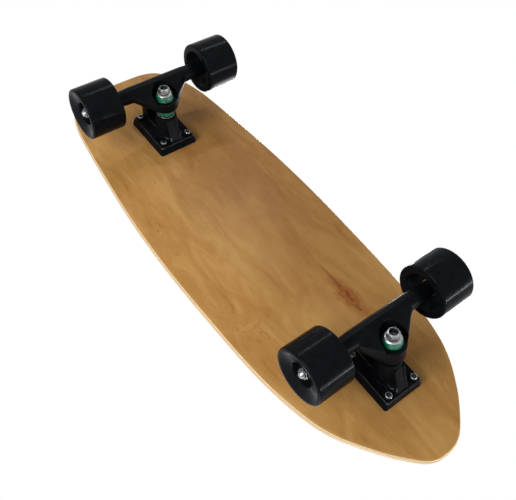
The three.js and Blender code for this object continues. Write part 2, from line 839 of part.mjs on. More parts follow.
/** Wheel, its two bearings, the spacer between them and the axle nut on one end of an axle. */
function wheelSet(spec, side) {
  const hand = side > 0 ? "right" : "left";
  const named = (name) => `${spec.name}_${hand}_${name}`;
  const at = (geometry, height) => onAxle(spec, side, geometry.translate(0, 0, wheelCentre + height));
  const halfSpacer = bearing.spacing / 2 - clearance;
  const spacerTube = turnedRing([
    [axle.radius + clearance, -halfSpacer], [spacer.outerRadius, -halfSpacer],
    [spacer.outerRadius, halfSpacer], [axle.radius + clearance, halfSpacer],
  ], ballSides);
  const nut = hexNut(axleNut.cornerRadius, axleNut.height, axle.radius + clearance);
  return [
    piece(named("wheel"), at(wheelGeometry(), 0), "blackUrethane"),
    piece(named("inner_bearing"), at(bearingGeometry(), -bearingFace), "bearingSteel"),
    piece(named("outer_bearing"), at(bearingGeometry(), bearing.spacing / 2), "bearingSteel"),
    piece(named("bearing_spacer"), at(spacerTube, 0), "zincSteel"),
    piece(named("axle_nut"), at(nut, axleNutBase - wheelCentre), "zincSteel"),
  ];
}

/** One truck hung under the deck: the group turns its downward sizes to the world. */
function truck(spec, place) {
  const group = new THREE.Group();
  group.add(...truckBody(spec), ...wheelSet(spec, -1), ...wheelSet(spec, 1));
  group.position.set(place, 0, deckUnderside);
  group.rotation.x = Math.PI;
  return group;
}

/** Deck, grip tape and the bolts and nuts that hold the trucks. */
function deckAssembly() {
  const group = new THREE.Group();
  group.add(piece("deck", deckGeometry(), "maple"), piece("grip_tape", gripGeometry(), "grip"));
  const nutTop = -(plate.thickness + clearance);
  const nut = hexNut(deckNut.cornerRadius, deckNut.height, deckBolt.radius + clearance);
  boltPlaces().forEach(([x, y], i) => {
    const truckBolts = boltPlaces().length / 2;
    const label = `${i < truckBolts ? "front" : "rear"}_deck`;
    const number = i % truckBolts + 1;
    group.add(piece(`${label}_bolt_${number}`, deckBoltGeometry().translate(x, y, 0), "zincSteel"));
    group.add(piece(`${label}_nut_${number}`, nut.clone().translate(x, y, nutTop - deckNut.height), "zincSteel"));
  });
  group.position.z = deckUnderside;
  return group;
}

const skateboard = new THREE.Group();
skateboard.name = "surf_skateboard";
skateboard.add(deckAssembly(), truck(front, frontPlace), truck(rear, rearPlace));
export default skateboard;
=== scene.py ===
"""Surf skateboard: a lacquered maple deck on two steering trucks with urethane wheels.

Lengths are millimetres, turned to metres where a mesh is made. Truck pieces are measured
down from the underside of the deck, with +X still towards the nose.
"""

import json
import logging
from collections.abc import Callable, Iterator
from contextlib import contextmanager
from dataclasses import dataclass
from enum import Enum
from math import atan2, cos, hypot, pi, radians, sin, sqrt, tan
from typing import Any

import bmesh
import bpy
from mathutils import Matrix, Vector

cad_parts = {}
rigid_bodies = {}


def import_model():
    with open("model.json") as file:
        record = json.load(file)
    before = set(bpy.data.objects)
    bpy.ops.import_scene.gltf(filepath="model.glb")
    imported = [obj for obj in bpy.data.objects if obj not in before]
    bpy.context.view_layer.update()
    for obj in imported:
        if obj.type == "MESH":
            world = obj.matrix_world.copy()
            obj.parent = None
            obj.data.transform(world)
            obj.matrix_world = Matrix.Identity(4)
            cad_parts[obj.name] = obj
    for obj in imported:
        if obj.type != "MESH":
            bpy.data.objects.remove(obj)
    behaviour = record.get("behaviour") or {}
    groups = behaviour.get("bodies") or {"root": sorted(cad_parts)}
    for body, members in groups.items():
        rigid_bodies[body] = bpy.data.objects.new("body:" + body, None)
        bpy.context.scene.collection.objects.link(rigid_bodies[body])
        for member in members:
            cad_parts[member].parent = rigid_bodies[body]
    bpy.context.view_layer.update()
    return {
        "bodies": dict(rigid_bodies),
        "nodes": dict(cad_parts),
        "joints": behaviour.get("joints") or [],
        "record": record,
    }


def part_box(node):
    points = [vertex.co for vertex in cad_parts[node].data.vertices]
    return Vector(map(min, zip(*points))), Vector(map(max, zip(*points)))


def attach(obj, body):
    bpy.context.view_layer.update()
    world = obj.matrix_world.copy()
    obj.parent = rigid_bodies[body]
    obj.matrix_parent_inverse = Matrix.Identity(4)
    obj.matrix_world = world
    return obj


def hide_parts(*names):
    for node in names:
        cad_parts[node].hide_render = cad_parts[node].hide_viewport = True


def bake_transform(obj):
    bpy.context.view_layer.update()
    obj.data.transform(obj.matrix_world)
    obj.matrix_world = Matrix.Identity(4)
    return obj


log = logging.getLogger("surf_skateboard")

MM = 0.001
CLEARANCE = 0.3
OVERRUN = 2.0
ROUND_STEPS = 72
SMALL_STEPS = 40
CORNER_STEPS = 8
FILLET_STEPS = 4
BOLT_PATTERN = (63.5, 41.3)
CORNERS = ((1, 1), (1, -1), (-1, 1), (-1, -1))
PLY_HEIGHT = "ply_height"
EDGE_WEAR_AND_HIGHLIGHT = "edge_wear"
WHOLE = (0.0, 1.0, 0.0, 1.0)

Point = tuple[float, float]
Corner = tuple[float, float, float]
Levels = tuple[float, float, float, float]
Inputs = dict[Any, Any] | tuple
Obj = bpy.types.Object
Tree = bpy.types.NodeTree
Socket = bpy.types.NodeSocket


# Materials

def hex_color(code: str) -> tuple[float, float, float, float]:
    """Turn an sRGB hex colour into a linear one.

    Args:
        code: six hex digits, with or without a leading #.

    Returns:
        Linear red, green, blue and an alpha of 1.
    """
    digits = code.lstrip("#")
    shares = [int(digits[i:i + 2], 16) / 255 for i in (0, 2, 4)]
    linear = [s / 12.92 if s <= 0.04045 else ((s + 0.055) / 1.055) ** 2.4 for s in shares]
    return (*linear, 1.0)


def fill(tree: Tree, node: bpy.types.Node, inputs: Inputs) -> bpy.types.Node:
    """Link or set a node's inputs.

    Args:
        tree: the node tree.
        node: the node.
        inputs: values or sockets, in order or by the input's name or number; a socket is linked.

    Returns:
        The node.
    """
    for key, value in inputs.items() if isinstance(inputs, dict) else enumerate(inputs):
        if isinstance(value, Socket):
            tree.links.new(value, node.inputs[key])
        else:
            node.inputs[key].default_value = value
    return node


def add(tree: Tree, kind: str, inputs: Inputs = (), **settings: Any) -> bpy.types.Node:
    """Add a node with its settings and links.

    Args:
        tree: the node tree.
        kind: the node's type name, without ShaderNode in front.
        inputs: values or sockets, as fill takes them.
        settings: attributes of the node itself.

    Returns:
        The new node.
    """
    node = tree.nodes.new(f"ShaderNode{kind}")
    for name, value in settings.items():
        setattr(node, name, value)
    return fill(tree, node, inputs)


def mottled(
    tree: Tree, coords: Socket, size: float | Corner, detail: float, roughness: float = 0.5,
    swirl: float = 0.0,
) -> Socket:
    """Cloudy pattern whose patches have a real size.

    Args:
        tree: the material's node tree.
        coords: Object coordinates.
        size: a patch's size in millimetres, or its sizes along X, Y and Z.
        detail: how many finer layers it has.
        roughness: how strong these are.
        swirl: how far its patches are drawn out of shape.

    Returns:
        The pattern, 0 to 1.
    """
    sizes = size if isinstance(size, tuple) else (size, size, size)
    fitted = add(tree, "Mapping",
                 {"Vector": coords, "Scale": [1 / (s * MM) for s in sizes]}).outputs[0]
    return add(tree, "TexNoise", {
        "Vector": fitted, "Scale": 1.0, "Detail": detail, "Roughness": roughness,
        "Distortion": swirl,
    }).outputs[0]


def layered(tree: Tree, base: str, *layers: tuple[str, Socket, Levels]) -> Socket:
    """Lay tints over a colour, one after another.

    Args:
        tree: the material's node tree.
        base: hex colour at the bottom.
        layers: a hex tint, its pattern, two levels of this and the tint's share at each.

    Returns:
        The colour.
    """
    color = hex_color(base)
    for tint, pattern, levels in layers:
        share = add(tree, "MapRange", (pattern, *levels)).outputs[0]
        color = add(tree, "Mix", {0: share, 6: color, 7: hex_color(tint)},
                    data_type="RGBA").outputs[2]
    return color


def surfaced(
    tree: Tree, color: Socket, gloss: tuple[Socket, float, float, float, float],
    relief: tuple[Socket, float, float],
) -> dict[str, Any]:
    """Join a colour, a gloss that varies and a fine relief.

    Args:
        tree: the material's node tree.
        color: the colour.
        gloss: a pattern, two of its levels and the roughness at each.
        relief: a pattern, its depth in millimetres and its strength.

    Returns:
        The shader's inputs, by name.
    """
    height, depth, strength = relief
    bump = add(tree, "Bump", {"Height": height, "Distance": depth * MM, "Strength": strength})
    return {"Base Color": color, "Roughness": add(tree, "MapRange", gloss).outputs[0],
            "Normal": bump.outputs[0]}


@dataclass(frozen=True)
class Finish:
    """A material that is made once and shared by the pieces that wear it."""

    name: str

    def material(self) -> bpy.types.Material:
        """Make the material at the first call, and find it again at the others.

        Returns:
            The material.
        """
        found = bpy.data.materials.get(self.name)
        if found is None:
            found = bpy.data.materials.new(self.name)
            found.use_nodes = True
            tree = found.node_tree
            coords = add(tree, "TexCoord").outputs["Object"]
            fill(tree, tree.nodes["Principled BSDF"], self.inputs(tree, coords))
        return found

    def inputs(self, tree: Tree, coords: Socket) -> dict[str, Any]:
        """Make the patterns.

        Args:
            tree: the material's node tree.
            coords: Object coordinates.

        Returns:
            The shader's inputs, by name.
        """
        raise NotImplementedError


@dataclass(frozen=True)
class LacqueredMaple(Finish):
    """Rotary-cut maple veneer under clear lacquer: long soft flames, fine pores and one knot."""

    name: str = "lacquered maple veneer"
    pale: str = "#ac8148"
    warm: str = "#986c35"
    streak: str = "#734a20"
    # Painted shade: a broad darker band along the -Y half of the deck, the side turned away from
    # the key lamp.
    side_shade: str = "#7a4c1c"
    light: str = "#be9459"
    knot: str = "#85481a"
    knot_rim: str = "#542a10"
    flame_size: Corner = (86.4, 24.0, 24.0)
    line_size: Corner = (26.4, 2.4, 2.4)
    pore_size: Corner = (13.0, 1.3, 1.3)
    patch_size: Corner = (166.67, 71.43, 71.43)
    ring_count: float = 4.5
    whorl_step: float = 0.26
    swirl_size: float = 11.0
    # Middle, half sizes and waviness of the painted shade band.
    side_shade_place: Corner = (-60.0, -48.0, 114.0)
    side_shade_size: Corner = (300.0, 85.0, 200.0)
    side_shade_bend: float = 0.4
    knot_place: Corner = (154.0, -41.0, 114.0)
    knot_size: Corner = (27.0, 10.0, 60.0)
    knot_bend: float = 1.2
    crack_place: Corner = (119.0, -41.0, 114.0)
    crack_size: Corner = (30.0, 3.0, 60.0)
    roughness: float = 0.4
    specular: float = 0.12
    coat: float = 0.02
    coat_roughness: float = 0.2

    def inputs(self, tree: Tree, coords: Socket) -> dict[str, Any]:
        """Lay flames, rings, grain lines, pores and the knot with its crack, all lengthwise.

        Args:
            tree: the material's node tree.
            coords: Object coordinates.

        Returns:
            The shader's inputs, by name.
        """
        flame = mottled(tree, coords, self.flame_size, 3.0, swirl=1.6)
        lines = mottled(tree, coords, self.line_size, 4.0, 0.6, 0.9)
        pores = mottled(tree, coords, self.pore_size, 2.0)
        patch = mottled(tree, coords, self.patch_size, 2.0)
        side_shade = self.reach(tree, coords, self.side_shade_place, self.side_shade_size, self.side_shade_bend)
        knot = self.reach(tree, coords, self.knot_place, self.knot_size, self.knot_bend)
        crack = self.reach(tree, coords, self.crack_place, self.crack_size, self.knot_bend)
        rings = add(tree, "Math", (flame, self.ring_count), operation="MULTIPLY").outputs[0]
        rings = self.bands(tree, rings, 0.5, (0.07, 0.0, 0.0, 0.5), (patch, 0.45, 0.65, 0.0, 1.0))
        whorl = self.bands(tree, knot, self.whorl_step, (0.16, 0.25, 0.0, 0.6),
                           (knot, 0.7, 1.4, 1.0, 0.0))
        color = layered(
            tree, self.pale,
            (self.warm, flame, (0.3, 0.7, 0.0, 1.0)),
            # Painted shade darkens the -Y half of the deck.
            (self.side_shade, side_shade, (0.0, 1.2, 0.7, 0.0)),
            (self.streak, rings, WHOLE),
            (self.light, patch, (0.5, 0.3, 0.0, 0.35)),
            (self.streak, lines, (0.62, 0.76, 0.0, 0.45)),
            (self.light, lines, (0.38, 0.26, 0.0, 0.3)),
            (self.streak, pores, (0.68, 0.78, 0.0, 0.5)),
            (self.knot, knot, (0.3, 1.7, 0.9, 0.0)),
            (self.knot_rim, whorl, WHOLE),
            (self.knot_rim, crack, (0.3, 1.1, 0.5, 0.0)),
        )
        gloss = (lines, 0.3, 0.7, self.roughness - 0.05, self.roughness + 0.07)
        return surfaced(tree, color, gloss, (lines, 0.05, 0.5)) | {
            "Specular IOR Level": self.specular, "Coat Weight": self.coat,
            "Coat Roughness": self.coat_roughness,
        }

    def bands(
        self, tree: Tree, pattern: Socket, step: float, levels: Levels,
        mask: tuple[Socket, float, float, float, float],
    ) -> Socket:
        """Draw a line at each step of a pattern, as far as a mask shows it.

        Args:
            tree: the material's node tree.
            pattern: the pattern that is followed.
            step: the rise of the pattern from one turn to the next.
            levels: two levels of the pattern within a step and the line's strength at each.
            mask: a pattern, two of its levels and how far lines show at each.

        Returns:
            The lines' strength.
        """
        wave = add(tree, "Math", (pattern, step), operation="PINGPONG").outputs[0]
        lines, shown = (add(tree, "MapRange", ends).outputs[0] for ends in ((wave, *levels), mask))
        return add(tree, "Math", (lines, shown), operation="MULTIPLY").outputs[0]

    def reach(self, tree: Tree, coords: Socket, place: Corner, size: Corner, bend: float) -> Socket:
        """Measure the distance from a mark's middle, as a share of its wavy outline.

        Args:
            tree: the material's node tree.
            coords: Object coordinates.
            place: the mark's middle in millimetres.
            size: its half sizes in millimetres.
            bend: how wavy its outline is.

        Returns:
            The distance: 1 on the outline.
        """
        centred = add(tree, "Mapping", {
            "Vector": coords, "Location": [-p / s for p, s in zip(place, size)],
            "Scale": [1 / (s * MM) for s in size],
        }).outputs[0]
        swirl = add(tree, "TexNoise",
                    {"Vector": coords, "Scale": 1 / (self.swirl_size * MM), "Detail": 2.0})
        wave = add(tree, "VectorMath", (swirl.outputs["Color"], (-0.5, -0.5, -0.5)),
                   operation="ADD").outputs[0]
        bent = add(tree, "VectorMath", (wave, (bend, bend, bend), centred),
                   operation="MULTIPLY_ADD").outputs[0]
        return add(tree, "VectorMath", (bent,), operation="LENGTH").outputs["Value"]


@dataclass(frozen=True)
class MaplePlyEdge(Finish):
    """Sawn and sanded edge of seven maple plies: pale end grain with thin darker glue lines."""

    name: str = "sanded maple ply edge"
    pale: str = "#dcc59c"
    cross: str = "#c2a06d"
    glue: str = "#8d6a3e"
    plies: int = 7
    thickness: float = 10.0
    glue_share: float = 0.12
    grain: float = 1.4
    relief: float = 0.08
    roughness: float = 0.42
    coat: float = 0.15

    def inputs(self, tree: Tree, coords: Socket) -> dict[str, Any]:
        """Draw plies from the height through the board, which the mesh carries as an attribute.

        Args:
            tree: the material's node tree.
            coords: Object coordinates.

        Returns:
            The shader's inputs, by name.
        """
        height = add(tree, "Attribute", attribute_name=PLY_HEIGHT).outputs["Fac"]
        ply = add(tree, "Math", (height, self.plies / self.thickness),
                  operation="MULTIPLY").outputs[0]
        turn = add(tree, "Math", (ply, 2.0), operation="MODULO").outputs[0]
        cross = add(tree, "Math", (turn, 1.0), operation="GREATER_THAN").outputs[0]
        within = add(tree, "Math", (ply,), operation="FRACT").outputs[0]
        grain = mottled(tree, coords, self.grain, 3.0)
        color = layered(
            tree, self.pale,
            (self.cross, cross, WHOLE),
            (self.glue, within, (0.0, self.glue_share, 0.7, 0.0)),
            (self.glue, grain, (0.5, 0.8, 0.0, 0.4)),
        )
        bump = add(tree, "Bump", {"Height": grain, "Distance": self.relief * MM, "Strength": 0.5})
        return {
            "Base Color": color, "Normal": bump.outputs[0], "Roughness": self.roughness,
            "Coat Weight": self.coat,
        }


@dataclass(frozen=True)
class GripGrit(Finish):
    """Silicon carbide grit glued on paper: matt black, with single grains painted lighter as
    painted highlights and broad patches lighter from wear.
    """

    name: str = "silicon carbide grip tape"
    base: str = "#1a1a1c"
    glint_and_wear: str = "#3e3f43"
    grit: float = 0.7
    wear_size: float = 45.45

    def inputs(self, tree: Tree, coords: Socket) -> dict[str, Any]:
        """Draw grains, a little coarser than real grit so that they show.

        Args:
            tree: the material's node tree.
            coords: Object coordinates.

        Returns:
            The shader's inputs, by name.
        """
        cells = add(tree, "TexVoronoi", {"Vector": coords, "Scale": 1 / (self.grit * MM)})
        tone = add(tree, "SeparateColor", (cells.outputs["Color"],)).outputs["Red"]
        wear = mottled(tree, coords, self.wear_size, 4.0)
        grain = add(tree, "MapRange", (cells.outputs["Distance"], 0.1, 0.55, 1.0, 0.0)).outputs[0]
        # Single grains drawn lighter are painted highlights; the broad lighter patches are wear.
        color = layered(
            tree, self.base, (self.glint_and_wear, tone, (0.8, 1.0, 0.0, 1.0)),
            (self.glint_and_wear, wear, (0.5, 0.8, 0.0, 0.25)))
        return surfaced(tree, color, (tone, 0.0, 1.0, 0.7, 0.95), (grain, 0.35, 0.8))


@dataclass(frozen=True)
class PaintedCasting(Finish):
    """Gravity-cast aluminium under baked black paint: satin, with the faint pebble of the mould."""

    name: str = "black baked paint on cast aluminium"
    base: str = "#08090c"
    dust: str = "#0e1013"
    worn_and_highlight: str = "#98a0a8"
    pebble: float = 1.6
    cloud: float = 18.0
    roughness: float = 0.32
    specular: float = 0.035

    def inputs(self, tree: Tree, coords: Socket) -> dict[str, Any]:
        """Draw a pebbled relief, slow changes in tone and gloss, and lighter edges: paint rubbed
        thin there, and a painted highlight along them.

        Args:
            tree: the material's node tree.
            coords: Object coordinates.

        Returns:
            The shader's inputs, by name.
        """
        pebble = mottled(tree, coords, self.pebble, 3.0, 0.6)
        cloud = mottled(tree, coords, self.cloud, 3.0)
        edge = add(tree, "Attribute", attribute_name=EDGE_WEAR_AND_HIGHLIGHT).outputs["Fac"]
        # Lighter edges: partly paint rubbed thin, partly a painted highlight in place of the bright
        # lines that lamps draw along the edges.
        color = layered(
            tree, self.base, (self.dust, cloud, (0.35, 0.75, 0.0, 1.0)),
            (self.worn_and_highlight, edge, (0.2, 0.6, 0.0, 0.9)))
        gloss = (cloud, 0.3, 0.7, self.roughness - 0.05, self.roughness + 0.1)
        inputs = surfaced(tree, color, gloss, (pebble, 0.05, 0.25))
        return inputs | {"Specular IOR Level": self.specular}


@dataclass(frozen=True)
class PlatedSteel(Finish):
    """Turned and zinc-plated steel: bright, slightly blue, with fine tool marks and a soft haze."""

    name: str = "bright zinc-plated steel"
    base: str = "#9ea1a2"
    haze: str = "#6c6f70"
    cloud: float = 4.0
    marks: Corner = (5 / 3, 5 / 3, 0.25)
    roughness: float = 0.28

    def inputs(self, tree: Tree, coords: Socket) -> dict[str, Any]:
        """Draw haze in tone and gloss, and tool marks in the relief.

        Args:
            tree: the material's node tree.
            coords: Object coordinates.

        Returns:
            The shader's inputs, by name.
        """
        cloud = mottled(tree, coords, self.cloud, 4.0)
        marks = mottled(tree, coords, self.marks, 2.0)
        color = layered(tree, self.base, (self.haze, cloud, (0.4, 0.75, 0.0, 1.0)))
        gloss = (cloud, 0.3, 0.75, self.roughness - 0.06, self.roughness + 0.16)
        return surfaced(tree, color, gloss, (marks, 0.03, 0.4)) | {"Metallic": 1.0}


@dataclass(frozen=True)
class Urethane(Finish):
    """Cast polyurethane: a dense elastic plastic that is glossy where the mould was polished."""

    name: str = "urethane"
    base: str = "#0a0c0f"
    cloudy: str = "#0e1014"
    cloud: float = 9.0
    relief: float | Corner = 2.5
    roughness: float = 0.15
    specular: float = 0.03
    clear: float = 0.0
    depth: float = 0.0
    scatter: float = 0.6
    scatter_reach: Corner = (0.3, 1.0, 0.7)

    def inputs(self, tree: Tree, coords: Socket) -> dict[str, Any]:
        """Draw a cloudy tone, a gloss that varies and the faint marks of the mould or the lathe.

        Args:
            tree: the material's node tree.
            coords: Object coordinates.

        Returns:
            The shader's inputs, by name.
        """
        cloud = mottled(tree, coords, self.cloud, 3.0)
        relief = mottled(tree, coords, self.relief, 3.0)
        color = layered(tree, self.base, (self.cloudy, cloud, (0.35, 0.7, 0.0, 1.0)))
        gloss = (cloud, 0.3, 0.7, self.roughness - 0.03, self.roughness + 0.09)
        inputs = surfaced(tree, color, gloss, (relief, 0.01, 0.1))
        inputs |= {"Specular IOR Level": self.specular, "Transmission Weight": self.clear}
        if self.depth:
            inputs |= {
                "Subsurface Weight": self.scatter, "Subsurface Radius": self.scatter_reach,
                "Subsurface Scale": self.depth * MM,
            }
        return inputs


@dataclass(frozen=True)
class SoftPlastic(Finish):
    """Moulded nylon or rubber trim: one tone with a fine satin grain."""

    name: str = "moulded nylon"
    base: str = "#14161a"
    shade: str = "#1d2024"
    grain: float = 0.6
    roughness: float = 0.45

    def inputs(self, tree: Tree, coords: Socket) -> dict[str, Any]:
        """Draw a fine grain in tone, gloss and relief.

        Args:
            tree: the material's node tree.
            coords: Object coordinates.

        Returns:
            The shader's inputs, by name.
        """
        grain = mottled(tree, coords, self.grain, 2.0)
        color = layered(tree, self.base, (self.shade, grain, (0.35, 0.7, 0.0, 1.0)))
        gloss = (grain, 0.3, 0.7, self.roughness - 0.05, self.roughness + 0.08)
        return surfaced(tree, color, gloss, (grain, 0.03, 0.4))


MAPLE = LacqueredMaple()
PLY = MaplePlyEdge()
GRIP = GripGrit()
PAINT = PaintedCasting()
ZINC = PlatedSteel()
RACE = PlatedSteel("ground bearing steel", "#9da1a5", "#777b7f", roughness=0.2)
SHIELD = PlatedSteel("blackened bearing shield", "#3a3c40", "#2a2c2f", roughness=0.35)
# Black plating; on the kingpin's threaded end it is also painted shade in the nut's hole.
BLACKENED_AND_SHADE = PlatedSteel("black zinc-plated steel", "#2b2e33", "#1d2024", roughness=0.3)
GREEN = Urethane("translucent green bushing urethane", "#0a6349", "#0f7858",
                 roughness=0.25, specular=0.5, clear=0.15, depth=6.0)
TREAD = Urethane("glossy black wheel urethane", relief=(10.0, 1.2, 10.0))
LINER = Urethane("dark pivot liner urethane", "#22252a", "#2b2f35", roughness=0.38, specular=0.3)
NYLON = SoftPlastic()


# Workshop: selecting, shaping and joining meshes

def pick(*objects: Obj) -> None:
    """Select only these objects.

    Args:
        objects: the objects; the first becomes the active one.
    """
    if bpy.context.object is not None and bpy.context.object.mode != "OBJECT":
        bpy.ops.object.mode_set(mode="OBJECT")
    bpy.ops.object.select_all(action="DESELECT")
    for obj in objects:
        obj.select_set(True)
    bpy.context.view_layer.objects.active = objects[0]


def fresh(name: str, primitive: Callable[..., Any], **settings: Any) -> Obj:
    """Add a primitive as a new object, with its place put into its mesh.

    Args:
        name: the object's name.
        primitive: the operator that adds it.
        settings: the operator's settings.

    Returns:
        The new object, which alone is selected.
    """
    bpy.ops.object.select_all(action="DESELECT")
    primitive(**settings)
    obj = bpy.context.object
    obj.name = name
    bpy.ops.object.transform_apply(location=True, rotation=True, scale=True)
    return obj


@contextmanager
def editing(obj: Obj, mode: str = "VERT") -> Iterator[bmesh.types.BMesh]:
    """Edit mode on one object, with nothing selected at the start.

    Args:
        obj: the mesh object.
        mode: VERT, EDGE or FACE.

    Yields:
        The mesh being edited.
    """
    pick(obj)
    bpy.ops.object.mode_set(mode="EDIT")
    bpy.ops.mesh.select_mode(type=mode)
    bpy.ops.mesh.select_all(action="DESELECT")
    yield bmesh.from_edit_mesh(obj.data)
    bpy.ops.object.mode_set(mode="OBJECT")


def choose(obj: Obj, mesh: bmesh.types.BMesh, items: Any, test: Callable[[Any], bool]) -> None:
    """Select the vertices, edges or faces that pass a test.

    Args:
        obj: the object being edited.
        mesh: its edit mesh.
        items: mesh.verts, mesh.edges or mesh.faces.
        test: true for what is selected.
    """
    for item in items:
        item.select_set(bool(test(item)))
    mesh.select_flush_mode()
    bmesh.update_edit_mesh(obj.data)


def upright(edge: bmesh.types.BMEdge) -> float:
    """Return how far an edge rises along Z."""
    return abs(edge.verts[0].co.z - edge.verts[1].co.z)


def applied(obj: Obj, kind: str, **settings: Any) -> None:
    """Give an object a modifier and apply it.

    Args:
        obj: the object.
        kind: the modifier's type.
        settings: its settings.
    """
    pick(obj)
    modifier = obj.modifiers.new(kind.title(), kind)
    for name, value in settings.items():
        setattr(modifier, name, value)
    bpy.ops.object.modifier_apply(modifier=modifier.name)


def combine(body: Obj, tools: list[Obj], operation: str) -> Obj:
    """Join tools to a body or cut it with them; the tools are used up.

    Args:
        body: the closed solid that stays.
        tools: closed solids.
        operation: UNION, DIFFERENCE or INTERSECT.

    Returns:
        The body.
    """
    for tool in tools:
        applied(body, "BOOLEAN", object=tool, operation=operation, solver="MANIFOLD")
        bpy.data.objects.remove(tool)
    return body


def one_mesh(objects: list[Obj]) -> Obj:
    """Put several meshes into one object.

    Args:
        objects: the objects; the others are used up.

    Returns:
        The first object.
    """
    pick(*objects)
    bpy.ops.object.join()
    return objects[0]


def hulled(objects: list[Obj]) -> Obj:
    """Replace some solids by the smallest convex one round them.

    Args:
        objects: the solids, which are used up.

    Returns:
        The convex solid.
    """
    whole = one_mesh(objects)
    with editing(whole):
        bpy.ops.mesh.select_all(action="SELECT")
        bpy.ops.mesh.convex_hull()
    return whole


def cleaned(obj: Obj, gap: float = 0.001) -> Obj:
    """Merge doubles, drop empty faces and turn the normals outwards.

    Args:
        obj: the object.
        gap: how near, in millimetres, two points are one.

    Returns:
        The object.
    """
    with editing(obj):
        bpy.ops.mesh.select_all(action="SELECT")
        bpy.ops.mesh.remove_doubles(threshold=gap * MM)
        bpy.ops.mesh.dissolve_degenerate(threshold=gap * MM)
        bpy.ops.mesh.select_all(action="SELECT")
        bpy.ops.mesh.normals_make_consistent(inside=False)
    return obj


def eased(corners: list[Corner], steps: int = 4) -> list[Point]:
    """Closed or open outline whose corners are rounded.

    Args:
        corners: (radius, height, rounding) of each corner.
        steps: pieces of each arc.

    Returns:
        Points of the outline, with an arc at each corner whose rounding isn't zero.
    """
    points: list[Point] = []
    count = len(corners)
    for i, (x, y, rounding) in enumerate(corners):
        here = Vector((x, y))
        before = Vector(corners[i - 1][:2]) - here
        after = Vector(corners[(i + 1) % count][:2]) - here
        if not rounding or before.length == 0 or after.length == 0:
            points.append((x, y))
            continue
        half = before.angle(after) / 2
        reach = min(rounding / tan(half), before.length * 0.49, after.length * 0.49)
        radius = reach * tan(half)
        middle = here + (before.normalized() + after.normalized()).normalized() * radius / sin(half)
        start = here + before.normalized() * reach - middle
        end = here + after.normalized() * reach - middle
        turn = atan2(start.x * end.y - start.y * end.x, start.dot(end))
        for step in range(steps + 1):
            angle = turn * step / steps
            points.append((
                middle.x + start.x * cos(angle) - start.y * sin(angle),
                middle.y + start.x * sin(angle) + start.y * cos(angle),
            ))
    return points


def spun(name: str, outline: list[Point], steps: int = ROUND_STEPS) -> Obj:
    """Solid of revolution about Z: a ring of points, shaped to half a section and spun.

    Args:
        name: the object's name.
        outline: (radius, height) of a closed section; it may touch the axis.
        steps: pieces of the full turn.

    Returns:
        The closed solid.
    """
    obj = fresh(name, bpy.ops.mesh.primitive_circle_add, vertices=len(outline), radius=MM)
    for vertex, (radius, height) in zip(obj.data.vertices, outline):
        vertex.co = (radius * MM, 0, height * MM)
    with editing(obj):
        bpy.ops.mesh.select_all(action="SELECT")
        bpy.ops.mesh.spin(steps=steps, angle=2 * pi, center=(0, 0, 0), axis=(0, 0, 1))
    return cleaned(obj)


def rod(name: str, radius: float, low: float, high: float, steps: int = ROUND_STEPS) -> Obj:
    """Plain cylinder about Z, used to join or cut."""
    return spun(name, [(0, low), (radius, low), (radius, high), (0, high)], steps)


def block(
    name: str, low: Corner, high: Corner, corner: float = 0.0, draft: float = 0.0,
    fillet: float = 0.0,
) -> Obj:
    """Box with rounded upright edges and a top that is drawn in.

    Args:
        name: the object's name.
        low: its lowest corner.
        high: its highest corner.
        corner: rounding of the upright edges.
        draft: how far each side leans in at the top.
        fillet: rounding of the edges round the top.

    Returns:
        The closed solid.
    """
    size = [h - l for l, h in zip(low, high)]
    middle = [(l + h) / 2 * MM for l, h in zip(low, high)]
    obj = fresh(name, bpy.ops.mesh.primitive_cube_add, size=1, location=middle,
                scale=[s * MM for s in size])
    if corner:
        with editing(obj, "EDGE") as mesh:
            choose(obj, mesh, mesh.edges, lambda e: upright(e) > size[2] * MM / 2)
            bpy.ops.mesh.bevel(offset=corner * MM, segments=CORNER_STEPS, affect="EDGES",
                               clamp_overlap=False)
    if draft:
        with editing(obj) as mesh:
            choose(obj, mesh, mesh.verts, lambda v: v.co.z > high[2] * MM - MM)
            bpy.ops.transform.resize(
                value=(1 - 2 * draft / size[0], 1 - 2 * draft / size[1], 1), center_override=middle)
    if fillet:
        with editing(obj, "EDGE") as mesh:
            choose(obj, mesh, mesh.edges,
                   lambda e: min(v.co.z for v in e.verts) > high[2] * MM - MM / 10)
            bpy.ops.mesh.bevel(offset=fillet * MM, segments=FILLET_STEPS, affect="EDGES",
                               clamp_overlap=False)
    return obj


def moved(obj: Obj, matrix: Matrix) -> Obj:
    """Move an object and put the move into its mesh.

    Args:
        obj: the object.
        matrix: the move, in the world.

    Returns:
        The object.
    """
    obj.matrix_world = matrix @ obj.matrix_world
    pick(obj)
    bpy.ops.object.transform_apply(location=True, rotation=True, scale=True)
    return obj


def shift(x: float, y: float, z: float) -> Matrix:
    """Move in millimetres."""
    return Matrix.Translation((x * MM, y * MM, z * MM))


def copied(obj: Obj, name: str) -> Obj:
    """Copy an object with its own mesh.

    Args:
        obj: the object.
        name: the copy's name.

    Returns:
        The copy.
    """
    twin = obj.copy()
    twin.data = obj.data.copy()
    twin.name = name
    bpy.context.collection.objects.link(twin)
    return twin


def smooth(obj: Obj, angle: float = 35.0) -> Obj:
    """Shade an object smooth and keep its sharp edges.

    Args:
        obj: the object.
        angle: bend in degrees above which an edge stays sharp.

    Returns:
        The object.
    """
    pick(obj)
    bpy.ops.object.shade_smooth_by_angle(angle=radians(angle))
    return obj


def dressed(obj: Obj, *finishes: Finish) -> Obj:
    """Give an object its finishes.

    Args:
        obj: the object.
        finishes: one finish for each slot.

    Returns:
        The object.
    """
    obj.data.materials.clear()
    for finish in finishes:
        obj.data.materials.append(finish.material())
    return obj


def paint_faces(obj: Obj, slot: int, test: Callable[[bpy.types.MeshPolygon], bool]) -> Obj:
    """Give some faces another finish.

    Args:
        obj: the object.
        slot: number of the finish.
        test: true for the faces that get it.

    Returns:
        The object.
    """
    for face in obj.data.polygons:
        if test(face):
            face.material_index = slot
    return obj


